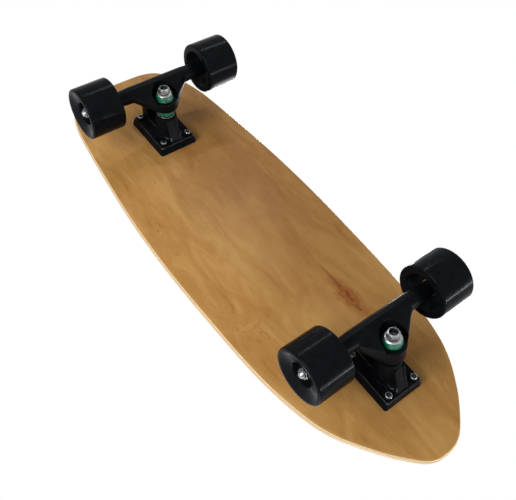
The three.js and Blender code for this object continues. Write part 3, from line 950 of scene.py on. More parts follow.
def threads(radius: float, low: float, high: float, pitch: float, depth: float) -> list[Point]:
    """Section of a threaded stretch, as rings one pitch apart.

    Args:
        radius: radius of the crests.
        low: height of its low end.
        high: height of its high end.
        pitch: distance of two rings, fitted to the length.
        depth: depth of the grooves.

    Returns:
        (radius, height) points from the low end to the high one.
    """
    turns = max(1, round((high - low) / pitch))
    step = (high - low) / turns
    points: list[Point] = []
    for i in range(turns):
        base = low + i * step
        points += [(radius - depth, base), (radius, base + step * 0.5)]
    return [*points, (radius - depth, high)]


@dataclass(frozen=True)
class LockNut:
    """Hexagon nut with turned corners and a nylon ring in the round collar on its top."""

    corner: float
    height: float
    bore: float
    collar: float
    chamfer: float = 0.8
    metal: Finish = ZINC
    corner_margin: Point = (0.2, 0.1)
    neck_inset: float = 0.5
    neck_sink: float = 0.3
    neck_round: float = 0.6
    nylon_depth: float = 1.6
    nylon_wall: float = 1.3
    nylon_sink: float = 0.35
    nylon_round: Point = (0.2, 0.3)

    def build(self, name: str) -> Obj:
        """Make the nut about Z from height zero.

        Args:
            name: the object's name.

        Returns:
            The nut in three finishes: hexagon, nylon ring and collar.
        """
        corner, height, bore = self.corner, self.height, self.bore
        flat, body = corner * cos(pi / 6), height - self.collar
        nut = fresh(name, bpy.ops.mesh.primitive_cylinder_add, vertices=6, radius=corner * MM,
                    depth=body * MM, location=(0, 0, body / 2 * MM))
        moved(nut, Matrix.Rotation(pi / 6, 4, "Z"))
        inset, margin = self.corner_margin
        barrel = spun("barrel", [
            (0, 0), (flat - inset, 0), (corner + margin, self.chamfer),
            (corner + margin, body - self.chamfer), (flat - inset, body), (0, body),
        ], SMALL_STEPS)
        neck, sunk = flat - self.neck_inset, body - self.neck_sink
        collar = spun("collar", eased([
            (0, sunk, 0), (neck, sunk, 0), (neck, height, self.neck_round), (0, height, 0),
        ]), SMALL_STEPS)
        floor, rim = height - self.nylon_depth, flat - self.nylon_wall
        combine(nut, [barrel], "INTERSECT")
        combine(nut, [collar], "UNION")
        combine(nut, [
            rod("bore", bore, -OVERRUN, height + OVERRUN, SMALL_STEPS),
            rod("seat", rim, floor, height + OVERRUN, SMALL_STEPS),
        ], "DIFFERENCE")
        paint_faces(dressed(nut, self.metal, NYLON, ZINC), 2,
                    lambda face: face.center.z > body * MM)
        top, (outside, inside) = height - self.nylon_sink, self.nylon_round
        ring = spun("ring", eased([
            (bore, floor, 0), (rim, floor, 0), (rim, top, outside), (bore, top, inside),
        ]), SMALL_STEPS)
        paint_faces(dressed(ring, self.metal, NYLON, ZINC), 1, lambda face: True)
        return smooth(one_mesh([nut, ring]), 30)


def show(obj: Obj, body: str, slot: str, *nodes: str,
         bend: tuple[str, Vector, Vector] | None = None) -> Obj:
    """Hand a finished piece to the frame.

    Args:
        obj: the piece.
        body: the body that it rides on.
        slot: the record's material slot; not used.
        nodes: the CAD nodes that it stands for.
        bend: for a soft piece, a body and the two ends of a bend; when it is given, the piece is
            put on no body and its place goes into its mesh.

    Returns:
        The piece.
    """
    if bend is None:
        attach(obj, body)
    else:
        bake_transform(obj)
    if nodes:
        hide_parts(*nodes)
    log.info("%s: %d faces on %s", obj.name, len(obj.data.polygons), body)
    return obj


# The board

class End(Enum):
    """The two ends of the board."""

    FRONT = "front"
    REAR = "rear"


def spline(points: list[Point], steps: int) -> list[Point]:
    """Uniform Catmull-Rom curve through points.

    Args:
        points: the points it passes.
        steps: pieces of each stretch.

    Returns:
        The curve's points.
    """
    found: list[Point] = []
    last = len(points) - 1
    for i in range(last):
        p0, p1, p2, p3 = (Vector(points[max(0, min(last, i + k))]) for k in (-1, 0, 1, 2))
        for step in range(steps):
            t = step / steps
            start, end = (p2 - p0) / 2, (p3 - p1) / 2
            here = ((2 * p1 - 2 * p2 + start + end) * t ** 3
                    + (3 * p2 - 3 * p1 - 2 * start - end) * t ** 2 + start * t + p1)
            found.append((here.x, here.y))
    return [*found, points[-1]]


@dataclass
class Board:
    """Maple deck and grip tape, cupped across and lifted at both ends."""

    underside: float
    half_length: float = 373.0
    half_width: float = 126.5
    thickness: float = 10.0
    edge_round: float = 3.5
    flat_half_width: float = 30.0
    concave: float = 12.0
    concave_power: float = 1.6
    nose_lift: float = 8.0
    nose_lift_start: float = 296.0
    tail_lift: float = 14.0
    tail_lift_start: float = -266.0
    lift_power: float = 1.5
    grip: float = 0.9
    grip_inset: float = 2.0
    grip_round: float = 0.25
    rim_slope: float = 0.8
    mesh_pitch: float = 9.0
    curve_steps: int = 9
    # Half outline from the nose tip to the tail corner, in shares of half the length and width.
    outline_shares: tuple[Point, ...] = (
        (1, 0), (0.986, 0.19), (0.93, 0.38), (0.857, 0.56), (0.75, 0.757), (0.63, 0.87),
        (0.45, 0.95),
        (0.19, 0.987), (-0.04, 1), (-0.28, 0.98), (-0.5, 0.925), (-0.7, 0.86), (-0.83, 0.795),
        (-0.93, 0.69), (-0.985, 0.54), (-1, 0.36),
    )

    def outline(self) -> list[Point]:
        """Mirror the half outline and draw a smooth curve through it.

        Returns:
            (x, y) points from one tail corner round the nose to the other.
        """
        right = [(x * self.half_length, y * self.half_width) for x, y in self.outline_shares]
        left = [(x, -y) for x, y in reversed(right[1:])]
        return spline([*left, *right], self.curve_steps)

    def rise(self, x: float, y: float) -> float:
        """Work out the height of the underside above its flat middle.

        Args:
            x: place along the board, in metres.
            y: place across it, in metres.

        Returns:
            The height in millimetres.
        """
        x, y = x / MM, y / MM
        side = max(0.0, abs(y) - self.flat_half_width) / (self.half_width - self.flat_half_width)
        nose = max(0.0, x - self.nose_lift_start) / (self.half_length - self.nose_lift_start)
        tail = max(0.0, self.tail_lift_start - x) / (self.half_length + self.tail_lift_start)
        return (self.concave * side ** self.concave_power + self.nose_lift * nose ** self.lift_power
                + self.tail_lift * tail ** self.lift_power)

    def sheet(self, name: str, inset: float, low: float, high: float, edge: float) -> Obj:
        """Curved board: outline, thickness, rounded rim, then cross cuts and the cupped height.

        Args:
            name: the object's name.
            inset: how far its outline lies inside the deck's.
            low: its lower face above the underside.
            high: its upper face above the underside.
            edge: rounding of the rim.

        Returns:
            The closed solid.
        """
        outline = self.outline()
        obj = fresh(name, bpy.ops.mesh.primitive_circle_add, vertices=len(outline), radius=MM,
                    fill_type="NGON")
        count = len(outline)
        for i, vertex in enumerate(obj.data.vertices):
            (x0, y0), (x1, y1) = outline[max(0, i - 1)], outline[min(count - 1, i + 1)]
            along = Vector((x1 - x0, y1 - y0)).normalized()
            out = Vector((-along.y, along.x))
            x, y = outline[i]
            if out.dot(Vector((x, y))) < 0:
                out.negate()
            vertex.co = ((x - inset * out.x) * MM, (y - inset * out.y) * MM, low * MM)
        with editing(obj, "FACE"):
            bpy.ops.mesh.select_all(action="SELECT")
            lift = (0, 0, (high - low) * MM)
            bpy.ops.mesh.extrude_region_move(TRANSFORM_OT_translate={"value": lift})
            bpy.ops.mesh.select_all(action="SELECT")
            bpy.ops.mesh.normals_make_consistent(inside=False)
        with editing(obj, "EDGE") as mesh:
            choose(obj, mesh, mesh.edges, lambda e: upright(e) < MM * edge / 9)
            bpy.ops.mesh.bevel(offset=edge * MM, segments=5, affect="EDGES", clamp_overlap=False)
        with editing(obj):
            for axis, reach in ((0, self.half_length), (1, self.half_width)):
                cuts = int(reach / self.mesh_pitch)
                normal = Vector((1 - axis, axis, 0))
                for cut in range(-cuts, cuts + 1):
                    bpy.ops.mesh.select_all(action="SELECT")
                    bpy.ops.mesh.bisect(plane_co=normal * cut * self.mesh_pitch * MM,
                                        plane_no=normal)
        for vertex in obj.data.vertices:
            vertex.co.z += (self.underside + self.rise(*vertex.co[:2])) * MM
        return obj

    def mark_plies(self, obj: Obj) -> None:
        """Store each point's height through the board, in millimetres, for the ply edge.

        Args:
            obj: the deck.
        """
        marks = obj.data.attributes.new(PLY_HEIGHT, "FLOAT", "POINT")
        for vertex, mark in zip(obj.data.vertices, marks.data):
            mark.value = vertex.co.z / MM - self.underside - self.rise(*vertex.co[:2])

    def build(self, bolts: "DeckHardware") -> None:
        """Make the deck and the grip tape with the holes for the bolts.

        Args:
            bolts: the deck hardware, which knows its places and holes.
        """
        deck = self.sheet("maple_deck", 0.0, 0.0, self.thickness, self.edge_round)
        combine(deck, bolts.holes(), "DIFFERENCE")
        smooth(deck, 30)
        self.mark_plies(deck)
        dressed(deck, MAPLE, PLY)
        paint_faces(deck, 1, lambda face: abs(face.normal.z) < self.rim_slope)
        show(deck, "board", "maple", "deck")
        base = self.thickness + CLEARANCE
        tape = self.sheet("grip_sheet", self.grip_inset, base, base + self.grip, self.grip_round)
        combine(tape, bolts.openings(), "DIFFERENCE")
        smooth(tape, 30)
        dressed(tape, GRIP)
        show(tape, "board", "grip", "grip_tape")


@dataclass
class DeckHardware:
    """Eight countersunk bolts through the deck and both base plates, each with its lock nut."""

    underside: float
    middles: dict[End, float]
    radius: float = 2.4
    thread: Corner = (9.0, 0.8, 0.35)
    tip_chamfer: float = 0.7
    head_radius: float = 4.7
    head_height: float = 3.0
    head_top: float = 11.0
    socket_radius: float = 1.7
    socket_depth: float = 1.8
    plate: float = 13.0
    nut_corner: float = 5.4
    nut_height: float = 5.0
    nut_collar: float = 1.5
    nut_chamfer: float = 0.6
    nut_play: float = 0.05
    tip_reach: float = 1.0

    def places(self) -> list[tuple[str, int, float, float]]:
        """List the bolts in the CAD's order.

        Returns:
            End, number, x and y of each bolt.
        """
        length, width = BOLT_PATTERN
        return [(end.value, number, middle + along * length / 2, side * width / 2)
                for end, middle in self.middles.items()
                for number, (along, side) in enumerate(CORNERS, 1)]

    def holes(self) -> list[Obj]:
        """Make the cutters for the deck.

        Returns:
            A countersunk cutter at each bolt.
        """
        bore, sink = self.radius + CLEARANCE, self.head_radius + CLEARANCE
        top = self.head_top
        base = top - self.head_height - CLEARANCE
        return self.spread(spun("hole", [
            (0, -OVERRUN), (bore, -OVERRUN), (bore, base), (sink, top), (sink, top + OVERRUN),
            (0, top + OVERRUN),
        ], SMALL_STEPS))

    def openings(self) -> list[Obj]:
        """Return the cutters for the grip tape."""
        span = self.head_top - OVERRUN, self.head_top + OVERRUN
        return self.spread(rod("opening", self.head_radius + CLEARANCE, *span, SMALL_STEPS))

    def spread(self, tool: Obj) -> list[Obj]:
        """Copy a tool to each bolt's place.

        Args:
            tool: the tool, which is used up.

        Returns:
            The copies.
        """
        tools = [moved(copied(tool, "cutter"), shift(x, y, self.underside))
                 for _, _, x, y in self.places()]
        bpy.data.objects.remove(tool)
        return tools

    def bolt(self) -> Obj:
        """Make a countersunk bolt with a hexagon socket.

        Returns:
            The bolt, with its threaded end blackened.
        """
        top, tip = self.head_top, -(self.plate + CLEARANCE + self.nut_height + self.tip_reach)
        length, pitch, depth = self.thread
        bolt = spun("bolt", [
            (0, tip), (self.radius - self.tip_chamfer, tip),
            *threads(self.radius, tip + self.tip_chamfer, tip + length, pitch, depth),
            (self.radius, tip + length + 0.2), (self.radius, top - self.head_height),
            (self.head_radius, top - 0.25), (self.head_radius - 0.15, top), (0, top),
        ], SMALL_STEPS)
        socket = fresh("socket", bpy.ops.mesh.primitive_cylinder_add, vertices=6,
                       radius=self.socket_radius * MM, depth=2 * self.socket_depth * MM,
                       location=(0, 0, top * MM))
        combine(bolt, [socket], "DIFFERENCE")
        dressed(bolt, ZINC, BLACKENED_AND_SHADE)
        paint_faces(bolt, 1, lambda face: face.center.z < (tip + length) * MM)
        return smooth(bolt, 30)

    def build(self) -> None:
        """Make one bolt and one nut and copy them to their places."""
        nut = LockNut(self.nut_corner, self.nut_height, self.radius + self.nut_play,
                      self.nut_collar, self.nut_chamfer, BLACKENED_AND_SHADE).build("nut")
        nut = moved(nut, shift(0, 0, -(self.plate + CLEARANCE)) @ Matrix.Rotation(pi, 4, "X"))
        moulds = {"bolt": self.bolt(), "nut": nut}
        for end, number, x, y in self.places():
            for kind, mould in moulds.items():
                twin = moved(copied(mould, f"{end}_{kind}_{number}"), shift(x, y, self.underside))
                show(twin, "board", "zincSteel", f"{end}_deck_{kind}_{number}")
        for mould in moulds.values():
            bpy.data.objects.remove(mould)


# The trucks

@dataclass
class Truck:
    """A base plate, the bushings on its kingpin and the hanger that steers on them."""

    end: End
    place: float
    underside: float
    kingpin_place: float
    kingpin_lean: float
    axle_place: float
    steer_angle: float
    steer_height: float
    pivot_reach: float
    ring_bottom: float
    # Base plate: flange, pedestal (both ends, half width), tower, buttress (foot, top, half width).
    plate_size: Point = (84.0, 61.0)
    plate_thickness: float = 13.0
    plate_draft: float = 2.6
    plate_corner: float = 3.0
    plate_fillet: float = 1.3
    pedestal: Corner = (-38.0, 31.0, 14.5)
    pedestal_height: float = 18.0
    pedestal_corner: float = 4.0
    pedestal_draft: float = 1.2
    tower_radii: Point = (17.5, 15.0)
    tower_height: float = 43.0
    buttress: Corner = (36.0, 21.0, 8.5)
    channel: Point = (5.0, 1.2)
    bolt_hole: float = 2.7
    # Kingpin: head (radius, base, top), end (chamfer, dimple's radius and depth), what it holds.
    kingpin_radius: float = 4.75
    kingpin_head: Corner = (8.2, 1.5, 7.5)
    kingpin_end: Corner = (1.2, 1.6, 0.8)
    thread: Point = (1.1, 0.45)
    kingpin_play: float = 0.15
    washer_height: float = 2.0
    washer_wall: float = 1.1
    seats: Point = (58.0, 70.0)
    top_bushing: Corner = (8.6, 11.2, 12.8)
    bottom_bushing: Point = (11.6, 12.8)
    bushing_rim: float = 1.3
    washer_radii: Point = (11.2, 13.0)
    nut_corner: float = 8.3
    nut_height: float = 7.4
    nut_collar: float = 1.2
    nut_play: float = 0.1
    # Hanger, measured from the middle of the axle outwards, and the axle in it.
    ring_radius: float = 17.5
    recess: Point = (18.0, 3.0)
    hole_radius: float = 8.5
    pocket_radius: float = 13.8
    wing: Point = (42.0, 11.0)
    bar: Corner = (11.5, 10.0, 9.0)
    axle_height: float = 79.0
    axle_radius: float = 4.0
    axle_end: Corner = (1.1, 1.2, 0.5)
    axle_thread: Point = (1.1, 0.4)
    axle_thread_start: float = 13.0
    wheel_centre: float = 93.6
    hanger_end: float = 81.3
    hanger_neck: float = 67.1
    axle_tip: float = 115.9
    # Pivots: ball, neck and foot in front, a nose in a cup behind.
    ball: Corner = (5.2, 3.6, 8.0)
    liner_wall: float = 1.6
    boss_wall: float = 2.6
    mouth_flare: float = 12.0
    kingpin_sink: float = 4.0
    nose_radii: Point = (5.2, 7.5)
    nose_reach: float = 20.0
    cup_mouth: float = 7.0
    cup_wall: float = 2.0
    housing_wall: float = 3.0
    # Castings: cube size and rounds of easing, then how strongly their edges are lightened, as wear
    # and as painted highlight.
    plate_grain: Point = (0.55, 2)
    hanger_grain: Point = (0.65, 5)
    wear_and_highlight_gain: float = 4.0
    wear_and_highlight_depth: float = 19.0
    deep_wear_and_highlight: float = 0.32

    @property
    def name(self) -> str:
        """The end's name, as the CAD nodes have it."""
        return self.end.value

    @property
    def bottom_washer(self) -> float:
        """Base of the bottom washer."""
        return self.tower_height + CLEARANCE

    @property
    def top_washer(self) -> float:
        """Base of the top washer."""
        return self.seats[1] + CLEARANCE + self.top_bushing[0] + CLEARANCE

    @property
    def nut_base(self) -> float:
        """Base of the kingpin nut."""
        return self.top_washer + self.washer_height + CLEARANCE

    def world(self) -> Matrix:
        """Turn the truck's downward sizes to the world."""
        return shift(self.place, 0, self.underside) @ Matrix.Rotation(pi, 4, "X")

    def kingpin_frame(self) -> Matrix:
        """Place and lean of what was made about Z on the kingpin."""
        lean, height = Matrix.Rotation(radians(self.kingpin_lean), 4, "Y"), self.steer_height
        return shift(self.kingpin_place, 0, height) @ lean @ shift(0, 0, -height)

    def axle_frame(self, side: int = 1) -> Matrix:
        """Place of what was made about Z on one end of the axle; +1 is the right end."""
        return shift(self.axle_place, 0, self.axle_height) @ Matrix.Rotation(-side * pi / 2, 4, "X")

    def pivot(self) -> tuple[Vector, Vector]:
        """Work out where the hanger pivots.

        Returns:
            The pivot's centre and the steering axis, which points to the kingpin.
        """
        angle = radians(self.steer_angle)
        down = -1 if self.end is End.FRONT else 1
        axis = Vector((cos(angle), 0, down * sin(angle)))
        ring = Vector((self.kingpin_place, 0, self.steer_height))
        return ring - axis * self.pivot_reach / cos(angle), axis

    def steering_frame(self) -> Matrix:
        """Place of what was made about Z, from the pivot's centre, on the steering axis."""
        centre, axis = self.pivot()
        return shift(*centre) @ Vector((0, 0, 1)).rotation_difference(axis).to_matrix().to_4x4()

    def casting(self, obj: Obj, grain: Point) -> Obj:
        """Give a joined and cut solid the soft edges of a casting.

        Args:
            obj: the solid.
            grain: size of the small cubes it is drawn in and how often their edges are eased.

        Returns:
            The casting in its paint.
        """
        cube, eases = grain
        applied(obj, "REMESH", mode="VOXEL", voxel_size=cube * MM)
        applied(obj, "SMOOTH", factor=0.5, iterations=int(eases))
        applied(obj, "DECIMATE", ratio=0.5)
        pick(obj)
        bpy.ops.object.shade_smooth()
        self.mark_wear_and_highlight(obj, cube)
        return dressed(obj, PAINT)

    def mark_wear_and_highlight(self, obj: Obj, cube: float) -> None:
        """Store how far each point stands proud of its neighbours, as 0 to 1, for the lighter
        edges: wear and painted highlight.

        Args:
            obj: the casting.
            cube: size of the small cubes it was drawn in.
        """
        points = obj.data.vertices
        proud, count = [0.0] * len(points), [0] * len(points)
        for edge in obj.data.edges:
            a, b = edge.vertices
            step = points[a].co - points[b].co
            proud[a] += points[a].normal.dot(step)
            proud[b] -= points[b].normal.dot(step)
            count[a] += 1
            count[b] += 1
        marks = obj.data.attributes.new(EDGE_WEAR_AND_HIGHLIGHT, "FLOAT", "POINT")
        for mark, total, number in zip(marks.data, proud, count):
            mark.value = min(1.0, max(0.0, total / max(1, number) / (cube * MM) * self.wear_and_highlight_gain))
        # Deeper than the given depth from the deck, on the hanger and the top of the tower, the
        # painted highlight is kept faint.
        for mark, point in zip(marks.data, points):
            if point.co.z > self.wear_and_highlight_depth * MM:
                mark.value *= self.deep_wear_and_highlight

    def ball_solid(self, radius: float) -> Obj:
        """Make a sphere round the pivot's centre.

        Args:
            radius: its radius.

        Returns:
            The sphere.
        """
        return fresh("ball", bpy.ops.mesh.primitive_uv_sphere_add, segments=SMALL_STEPS,
                     ring_count=SMALL_STEPS // 2, radius=radius * MM,
                     location=self.pivot()[0] * MM)

    def pivot_parts(self) -> list[Obj]:
        """Make the pivot's share of the base plate.

        Returns:
            A ball on its post in front, the housing of a cup behind.
        """
        centre, _ = self.pivot()
        if self.end is End.FRONT:
            ball, neck, foot = self.ball
            top = centre.z - sqrt(ball ** 2 - neck ** 2)
            post = spun("post", [
                (0, self.plate_thickness - OVERRUN), (foot, self.plate_thickness - OVERRUN),
                (foot, self.pedestal_height), (neck, top), (0, top + OVERRUN),
            ])
            return [moved(post, shift(centre.x, 0, 0)), self.ball_solid(ball)]
        cup = self.cup_radii()
        barrel = moved(rod("barrel", cup[1] + CLEARANCE + self.housing_wall,
                           cup[3] - CLEARANCE - self.housing_wall, self.cup_mouth),
                           self.steering_frame())
        low, _, half = self.pedestal
        foot = block("foot", (low, -half, self.plate_thickness - OVERRUN),
                     (low + 16, half, self.plate_thickness + OVERRUN), self.pedestal_corner)
        return [hulled([barrel, foot])]

    def cup_radii(self) -> tuple[float, float, float, float]:
        """Work out the rear cup round the hanger's nose.

        Returns:
            Radius of its mouth, outer radius, floor and base.
        """
        tip, root = self.nose_radii
        mouth = tip + (root - tip) / self.nose_reach * self.cup_mouth + CLEARANCE
        floor = -(tip + CLEARANCE)
        return mouth, mouth + self.cup_wall, floor, floor - self.cup_wall

    def base_plate(self) -> Obj:
        """Cast flange, pedestal, tower, buttress and pivot in one, and bore it.

        Returns:
            The base plate.
        """
        length, width = self.plate_size
        low, high, half = self.pedestal
        plate = block("plate", (-length / 2, -width / 2, CLEARANCE),
                      (length / 2, width / 2, self.plate_thickness),
                      self.plate_corner, self.plate_draft, self.plate_fillet)
        deep = self.plate_thickness - OVERRUN
        pedestal = block("pedestal", (low, -half, deep), (high, half, self.pedestal_height),
                         self.pedestal_corner, self.pedestal_draft, self.plate_fillet)
        tower = moved(spun("tower", [
            (0, deep), (self.tower_radii[0], deep), (self.tower_radii[1], self.tower_height),
            (0, self.tower_height),
        ]), self.kingpin_frame())
        foot, top, thick = self.buttress
        shelf = self.tower_height - 1
        buttress = self.wedge("buttress", [
            (self.kingpin_place, deep), (foot, deep), (top, shelf), (self.kingpin_place, shelf),
        ], thick)
        body = combine(plate, [pedestal, tower, buttress, *self.pivot_parts()], "UNION")
        half_channel, depth = self.channel
        channel = self.wedge("channel", [
            (foot - depth, self.plate_thickness), (foot + OVERRUN, self.plate_thickness),
            (top + OVERRUN, shelf), (top - depth, shelf)], half_channel)
        cutters = [channel, moved(
            rod("bore", self.kingpin_radius + CLEARANCE, -OVERRUN, self.tower_height + OVERRUN),
            self.kingpin_frame())]
        for along, side in CORNERS:
            cutters.append(moved(
                rod("bolt hole", self.bolt_hole, -OVERRUN, self.plate_thickness + OVERRUN,
                    SMALL_STEPS),
                shift(along * BOLT_PATTERN[0] / 2, side * BOLT_PATTERN[1] / 2, 0)))
        if self.end is End.REAR:
            _, outer, _, base = self.cup_radii()
            cutters.append(moved(
                rod("cup hole", outer + CLEARANCE, base - CLEARANCE, self.cup_mouth + OVERRUN),
                self.steering_frame()))
        return self.casting(combine(body, cutters, "DIFFERENCE"), self.plate_grain)

    def wedge(self, name: str, outline: list[Point], half: float) -> Obj:
        """Solid with a four-cornered outline in the XZ plane, as thick as twice a half.

        Args:
            name: the object's name.
            outline: four (x, z) corners.
            half: half its thickness along Y.

        Returns:
            The closed solid.
        """
        obj = fresh(name, bpy.ops.mesh.primitive_circle_add, vertices=4, radius=MM,
                    fill_type="NGON")
        for vertex, (x, z) in zip(obj.data.vertices, outline):
            vertex.co = (x * MM, -half * MM, z * MM)
        with editing(obj, "FACE"):
            bpy.ops.mesh.select_all(action="SELECT")
            across = (0, 2 * half * MM, 0)
            bpy.ops.mesh.extrude_region_move(TRANSFORM_OT_translate={"value": across})
        return cleaned(obj)

    def hanger(self) -> Obj:
        """Cast axle bar, ring and pivot in one, and bore it.

        Returns:
            The hanger.
        """
        half, radius = self.wing
        wide, neck, end = self.bar
        wing = moved(rod("wing", radius, -half, half), self.axle_frame())
        ring = moved(rod("ring", self.ring_radius, self.ring_bottom, self.seats[1]),
                     self.kingpin_frame())
        socket = self.ball[0] + CLEARANCE + self.liner_wall + CLEARANCE
        if self.end is End.FRONT:
            boss = self.ball_solid(socket + self.boss_wall)
        else:
            boss = moved(rod("boss", self.nose_radii[1], self.nose_reach,
                             self.nose_reach + OVERRUN),
                         self.steering_frame())
        bar = moved(spun("bar", [
            (0, -self.hanger_end), (end, -self.hanger_end), (neck, -self.hanger_neck),
            (wide, -half), (wide, half),
            (neck, self.hanger_neck), (end, self.hanger_end), (0, self.hanger_end),
        ]), self.axle_frame())
        body = combine(hulled([wing, ring, boss]), [bar], "UNION")
        low, high = self.seats
        cutters = [
            moved(rod("recess", self.recess[0], high, self.axle_height + wide + OVERRUN),
                  self.kingpin_frame() @ shift(self.recess[1], 0, 0)),
            moved(rod("hole", self.hole_radius, self.ring_bottom - OVERRUN, high + OVERRUN),
                  self.kingpin_frame()),
            moved(rod("pocket", self.pocket_radius, self.tower_height - OVERRUN, low),
                  self.kingpin_frame()),
            moved(rod("axle bore", self.axle_radius + CLEARANCE, -self.hanger_end - OVERRUN,
                      self.hanger_end + OVERRUN), self.axle_frame()),
        ]
        if self.end is End.FRONT:
            centre, _ = self.pivot()
            depth = centre.z - self.ring_bottom + OVERRUN
            flare = socket + depth * tan(radians(self.mouth_flare))
            cutters.append(self.ball_solid(socket))
            cutters.append(moved(spun("mouth", [(0, -depth), (flare, -depth), (socket, 0), (0, 0)]),
                                 shift(*centre)))
        else:
            tip, root = self.nose_radii
            nose = moved(spun("nose", eased([
                (0, -tip, 0), (tip, -tip, 3.0), (tip, 0, 0), (root, self.nose_reach, 0),
                (0, self.nose_reach + OVERRUN, 0),
            ])), self.steering_frame())
            body = combine(body, [nose], "UNION")
        return self.casting(combine(body, cutters, "DIFFERENCE"), self.hanger_grain)

    def pivot_cup(self) -> Obj:
        """Make the pivot's liner: half a shell over the front ball, a cup round the rear nose.

        Returns:
            The liner.
        """
        if self.end is End.REAR:
            mouth, outer, floor, base = self.cup_radii()
            tip = self.nose_radii[0] + CLEARANCE
            cup = spun("cup", eased([
                (0, base, 0), (outer, base, 0.8), (outer, self.cup_mouth, 0.7),
                (mouth, self.cup_mouth, 0.7),
                (tip, 0, 0), (tip, floor, 0), (0, floor, 0),
            ]), SMALL_STEPS)
            return dressed(smooth(moved(cup, self.steering_frame())), LINER)
        inner = self.ball[0] + CLEARANCE
        outer = inner + self.liner_wall
        arc = [pi / 2 * i / 12 for i in range(13)]
        shell = spun("shell", [
            *[(inner * sin(a), inner * cos(a)) for a in arc],
            *[(outer * sin(a), outer * cos(a)) for a in reversed(arc)],
        ], SMALL_STEPS)
        centre, _ = self.pivot()
        return dressed(smooth(moved(shell, shift(*centre))), LINER)

    def kingpin(self) -> Obj:
        """Turn the kingpin, whose head lies in the base plate.

        Returns:
            The kingpin, with its threaded end dark: black plating, and painted shade in the nut's
                hole.
        """
        tip = self.nut_base + self.nut_height - self.kingpin_sink
        r, (head, low, high) = self.kingpin_radius, self.kingpin_head
        chamfer, dimple, sink = self.kingpin_end
        bolt = spun("kingpin", [
            (0, low), (head, low), (head, high), (r, high), (r, self.top_washer),
            *threads(r, self.top_washer + 0.3, tip - 1, *self.thread), (r - chamfer, tip),
            (dimple, tip), (0, tip - sink),
        ], SMALL_STEPS)
        # Dark threaded end: black plating, and painted shade in the kingpin nut's hole.
        dressed(bolt, ZINC, BLACKENED_AND_SHADE)
        paint_faces(bolt, 1, lambda face: face.center.z > self.nut_base * MM)
        return smooth(moved(bolt, self.kingpin_frame()), 30)

    def washer(self, radius: float, base: float, lip: float) -> Obj:
        """Cupped washer: flat under the bushing with a rim that turns up round it.

        Args:
            radius: its outer radius.
            base: its lowest height.
            lip: +1 where the rim turns away from the deck, -1 towards it.

        Returns:
            The washer.
        """
        bore = self.kingpin_radius + self.kingpin_play
        height, wall = self.washer_height, self.washer_wall
        section = [
            (bore, 0, 0), (radius - 1.6, 0, 0.9), (radius, 1.3, 0.6), (radius, height, 0.25),
            (radius - 0.9, height, 0.25), (radius - 2.2, wall, 0.8), (bore, wall, 0),
        ]
        if lip < 0:
            section = [(r, height - h, f) for r, h, f in section]
        section = [(r, base + h, f) for r, h, f in section]
        return dressed(smooth(moved(spun("washer", eased(section)), self.kingpin_frame()), 40),
                       ZINC)

    def bushing(self, tight: Point, loose: Point) -> Obj:
        """Make a barrel of urethane with eased rims, whose bore widens towards the hanger.

        Args:
            tight: height and radius of the end that sits on a washer.
            loose: height and radius of the end that bears on the hanger.

        Returns:
            The bushing.
        """
        bore, wide = self.kingpin_radius + self.kingpin_play, self.hole_radius - 1
        (fixed, r0), (free, r1) = tight, loose
        section = eased([
            (bore, fixed, 0.3), (r0, fixed, self.bushing_rim), (r1, free, self.bushing_rim),
            (wide, free, 0.3),
        ], 6)
        return dressed(smooth(moved(spun("bushing", section), self.kingpin_frame()), 40), GREEN)

    def axle(self) -> Obj:
        """Turn the axle.

        Returns:
            The axle, with both ends threaded.
        """
        tip, r = self.axle_tip, self.axle_radius
        start = self.wheel_centre + self.axle_thread_start
        chamfer, dimple, sink = self.axle_end
        half = [
            (r, start - 1), *threads(r, start, tip - 1, *self.axle_thread),
            (r - chamfer, tip), (dimple, tip), (0, tip - sink),
        ]
        axle = spun("axle", [*((x, -h) for x, h in reversed(half)), *half], SMALL_STEPS)
        return dressed(smooth(moved(axle, self.axle_frame()), 30), ZINC)

    def build(self) -> None:
        """Make the truck's pieces and hand them over."""
        name, moving = self.name, f"{self.name}_truck"
        (low, high), (height, small, large) = self.seats, self.top_bushing
        bottom = self.bottom_washer + self.washer_height + CLEARANCE
        nut = LockNut(self.nut_corner, self.nut_height, self.kingpin_radius + self.nut_play,
                      self.nut_collar)
        nut = moved(nut.build("kingpin nut"), self.kingpin_frame() @ shift(0, 0, self.nut_base))
        cup_body = moving if self.end is End.FRONT else "board"
        pieces = [
            (self.base_plate(), "base_plate", "board", "blackPaint", "baseplate"),
            (self.pivot_cup(), "pivot_liner", cup_body, "clearUrethane", "pivot_cup"),
            (self.kingpin(), "kingpin_bolt", "board", "zincSteel", "kingpin"),
            (self.washer(self.washer_radii[1], self.bottom_washer, 1), "lower_cup_washer", "board",
             "zincSteel", "bottom_washer"),
            (self.bushing((bottom, self.bottom_bushing[0]),
                          (low - CLEARANCE, self.bottom_bushing[1])),
             "lower_bushing", "board", "greenUrethane", "bottom_bushing"),
            (self.hanger(), "hanger_casting", moving, "blackPaint", "hanger"),
            (self.bushing((high + CLEARANCE + height, small), (high + CLEARANCE, large)),
             "upper_bushing", "board", "greenUrethane", "top_bushing"),
            (self.washer(self.washer_radii[0], self.top_washer, -1), "upper_cup_washer", "board",
             "zincSteel", "top_washer"),
            (nut, "kingpin_lock_nut", "board", "zincSteel", "kingpin_nut"),
            (self.axle(), "axle_rod", moving, "zincSteel", "axle"),
        ]
        rim = self.bushing_rim
        bends = {
            "lower_bushing": (bottom + rim, low - CLEARANCE - rim),
            "upper_bushing": (high + CLEARANCE + height - rim, high + CLEARANCE + rim),
        }
        for obj, label, body, slot, node in pieces:
            moved(obj, self.world())
            obj.name = f"{name}_{label}"
            bend = None
            if label in bends:
                frame = self.world() @ self.kingpin_frame()
                start, end = (frame @ Vector((0, 0, h * MM)) for h in bends[label])
                bend = (moving, start, end)
            show(obj, body, slot, f"{name}_{node}", bend=bend)


# The wheels

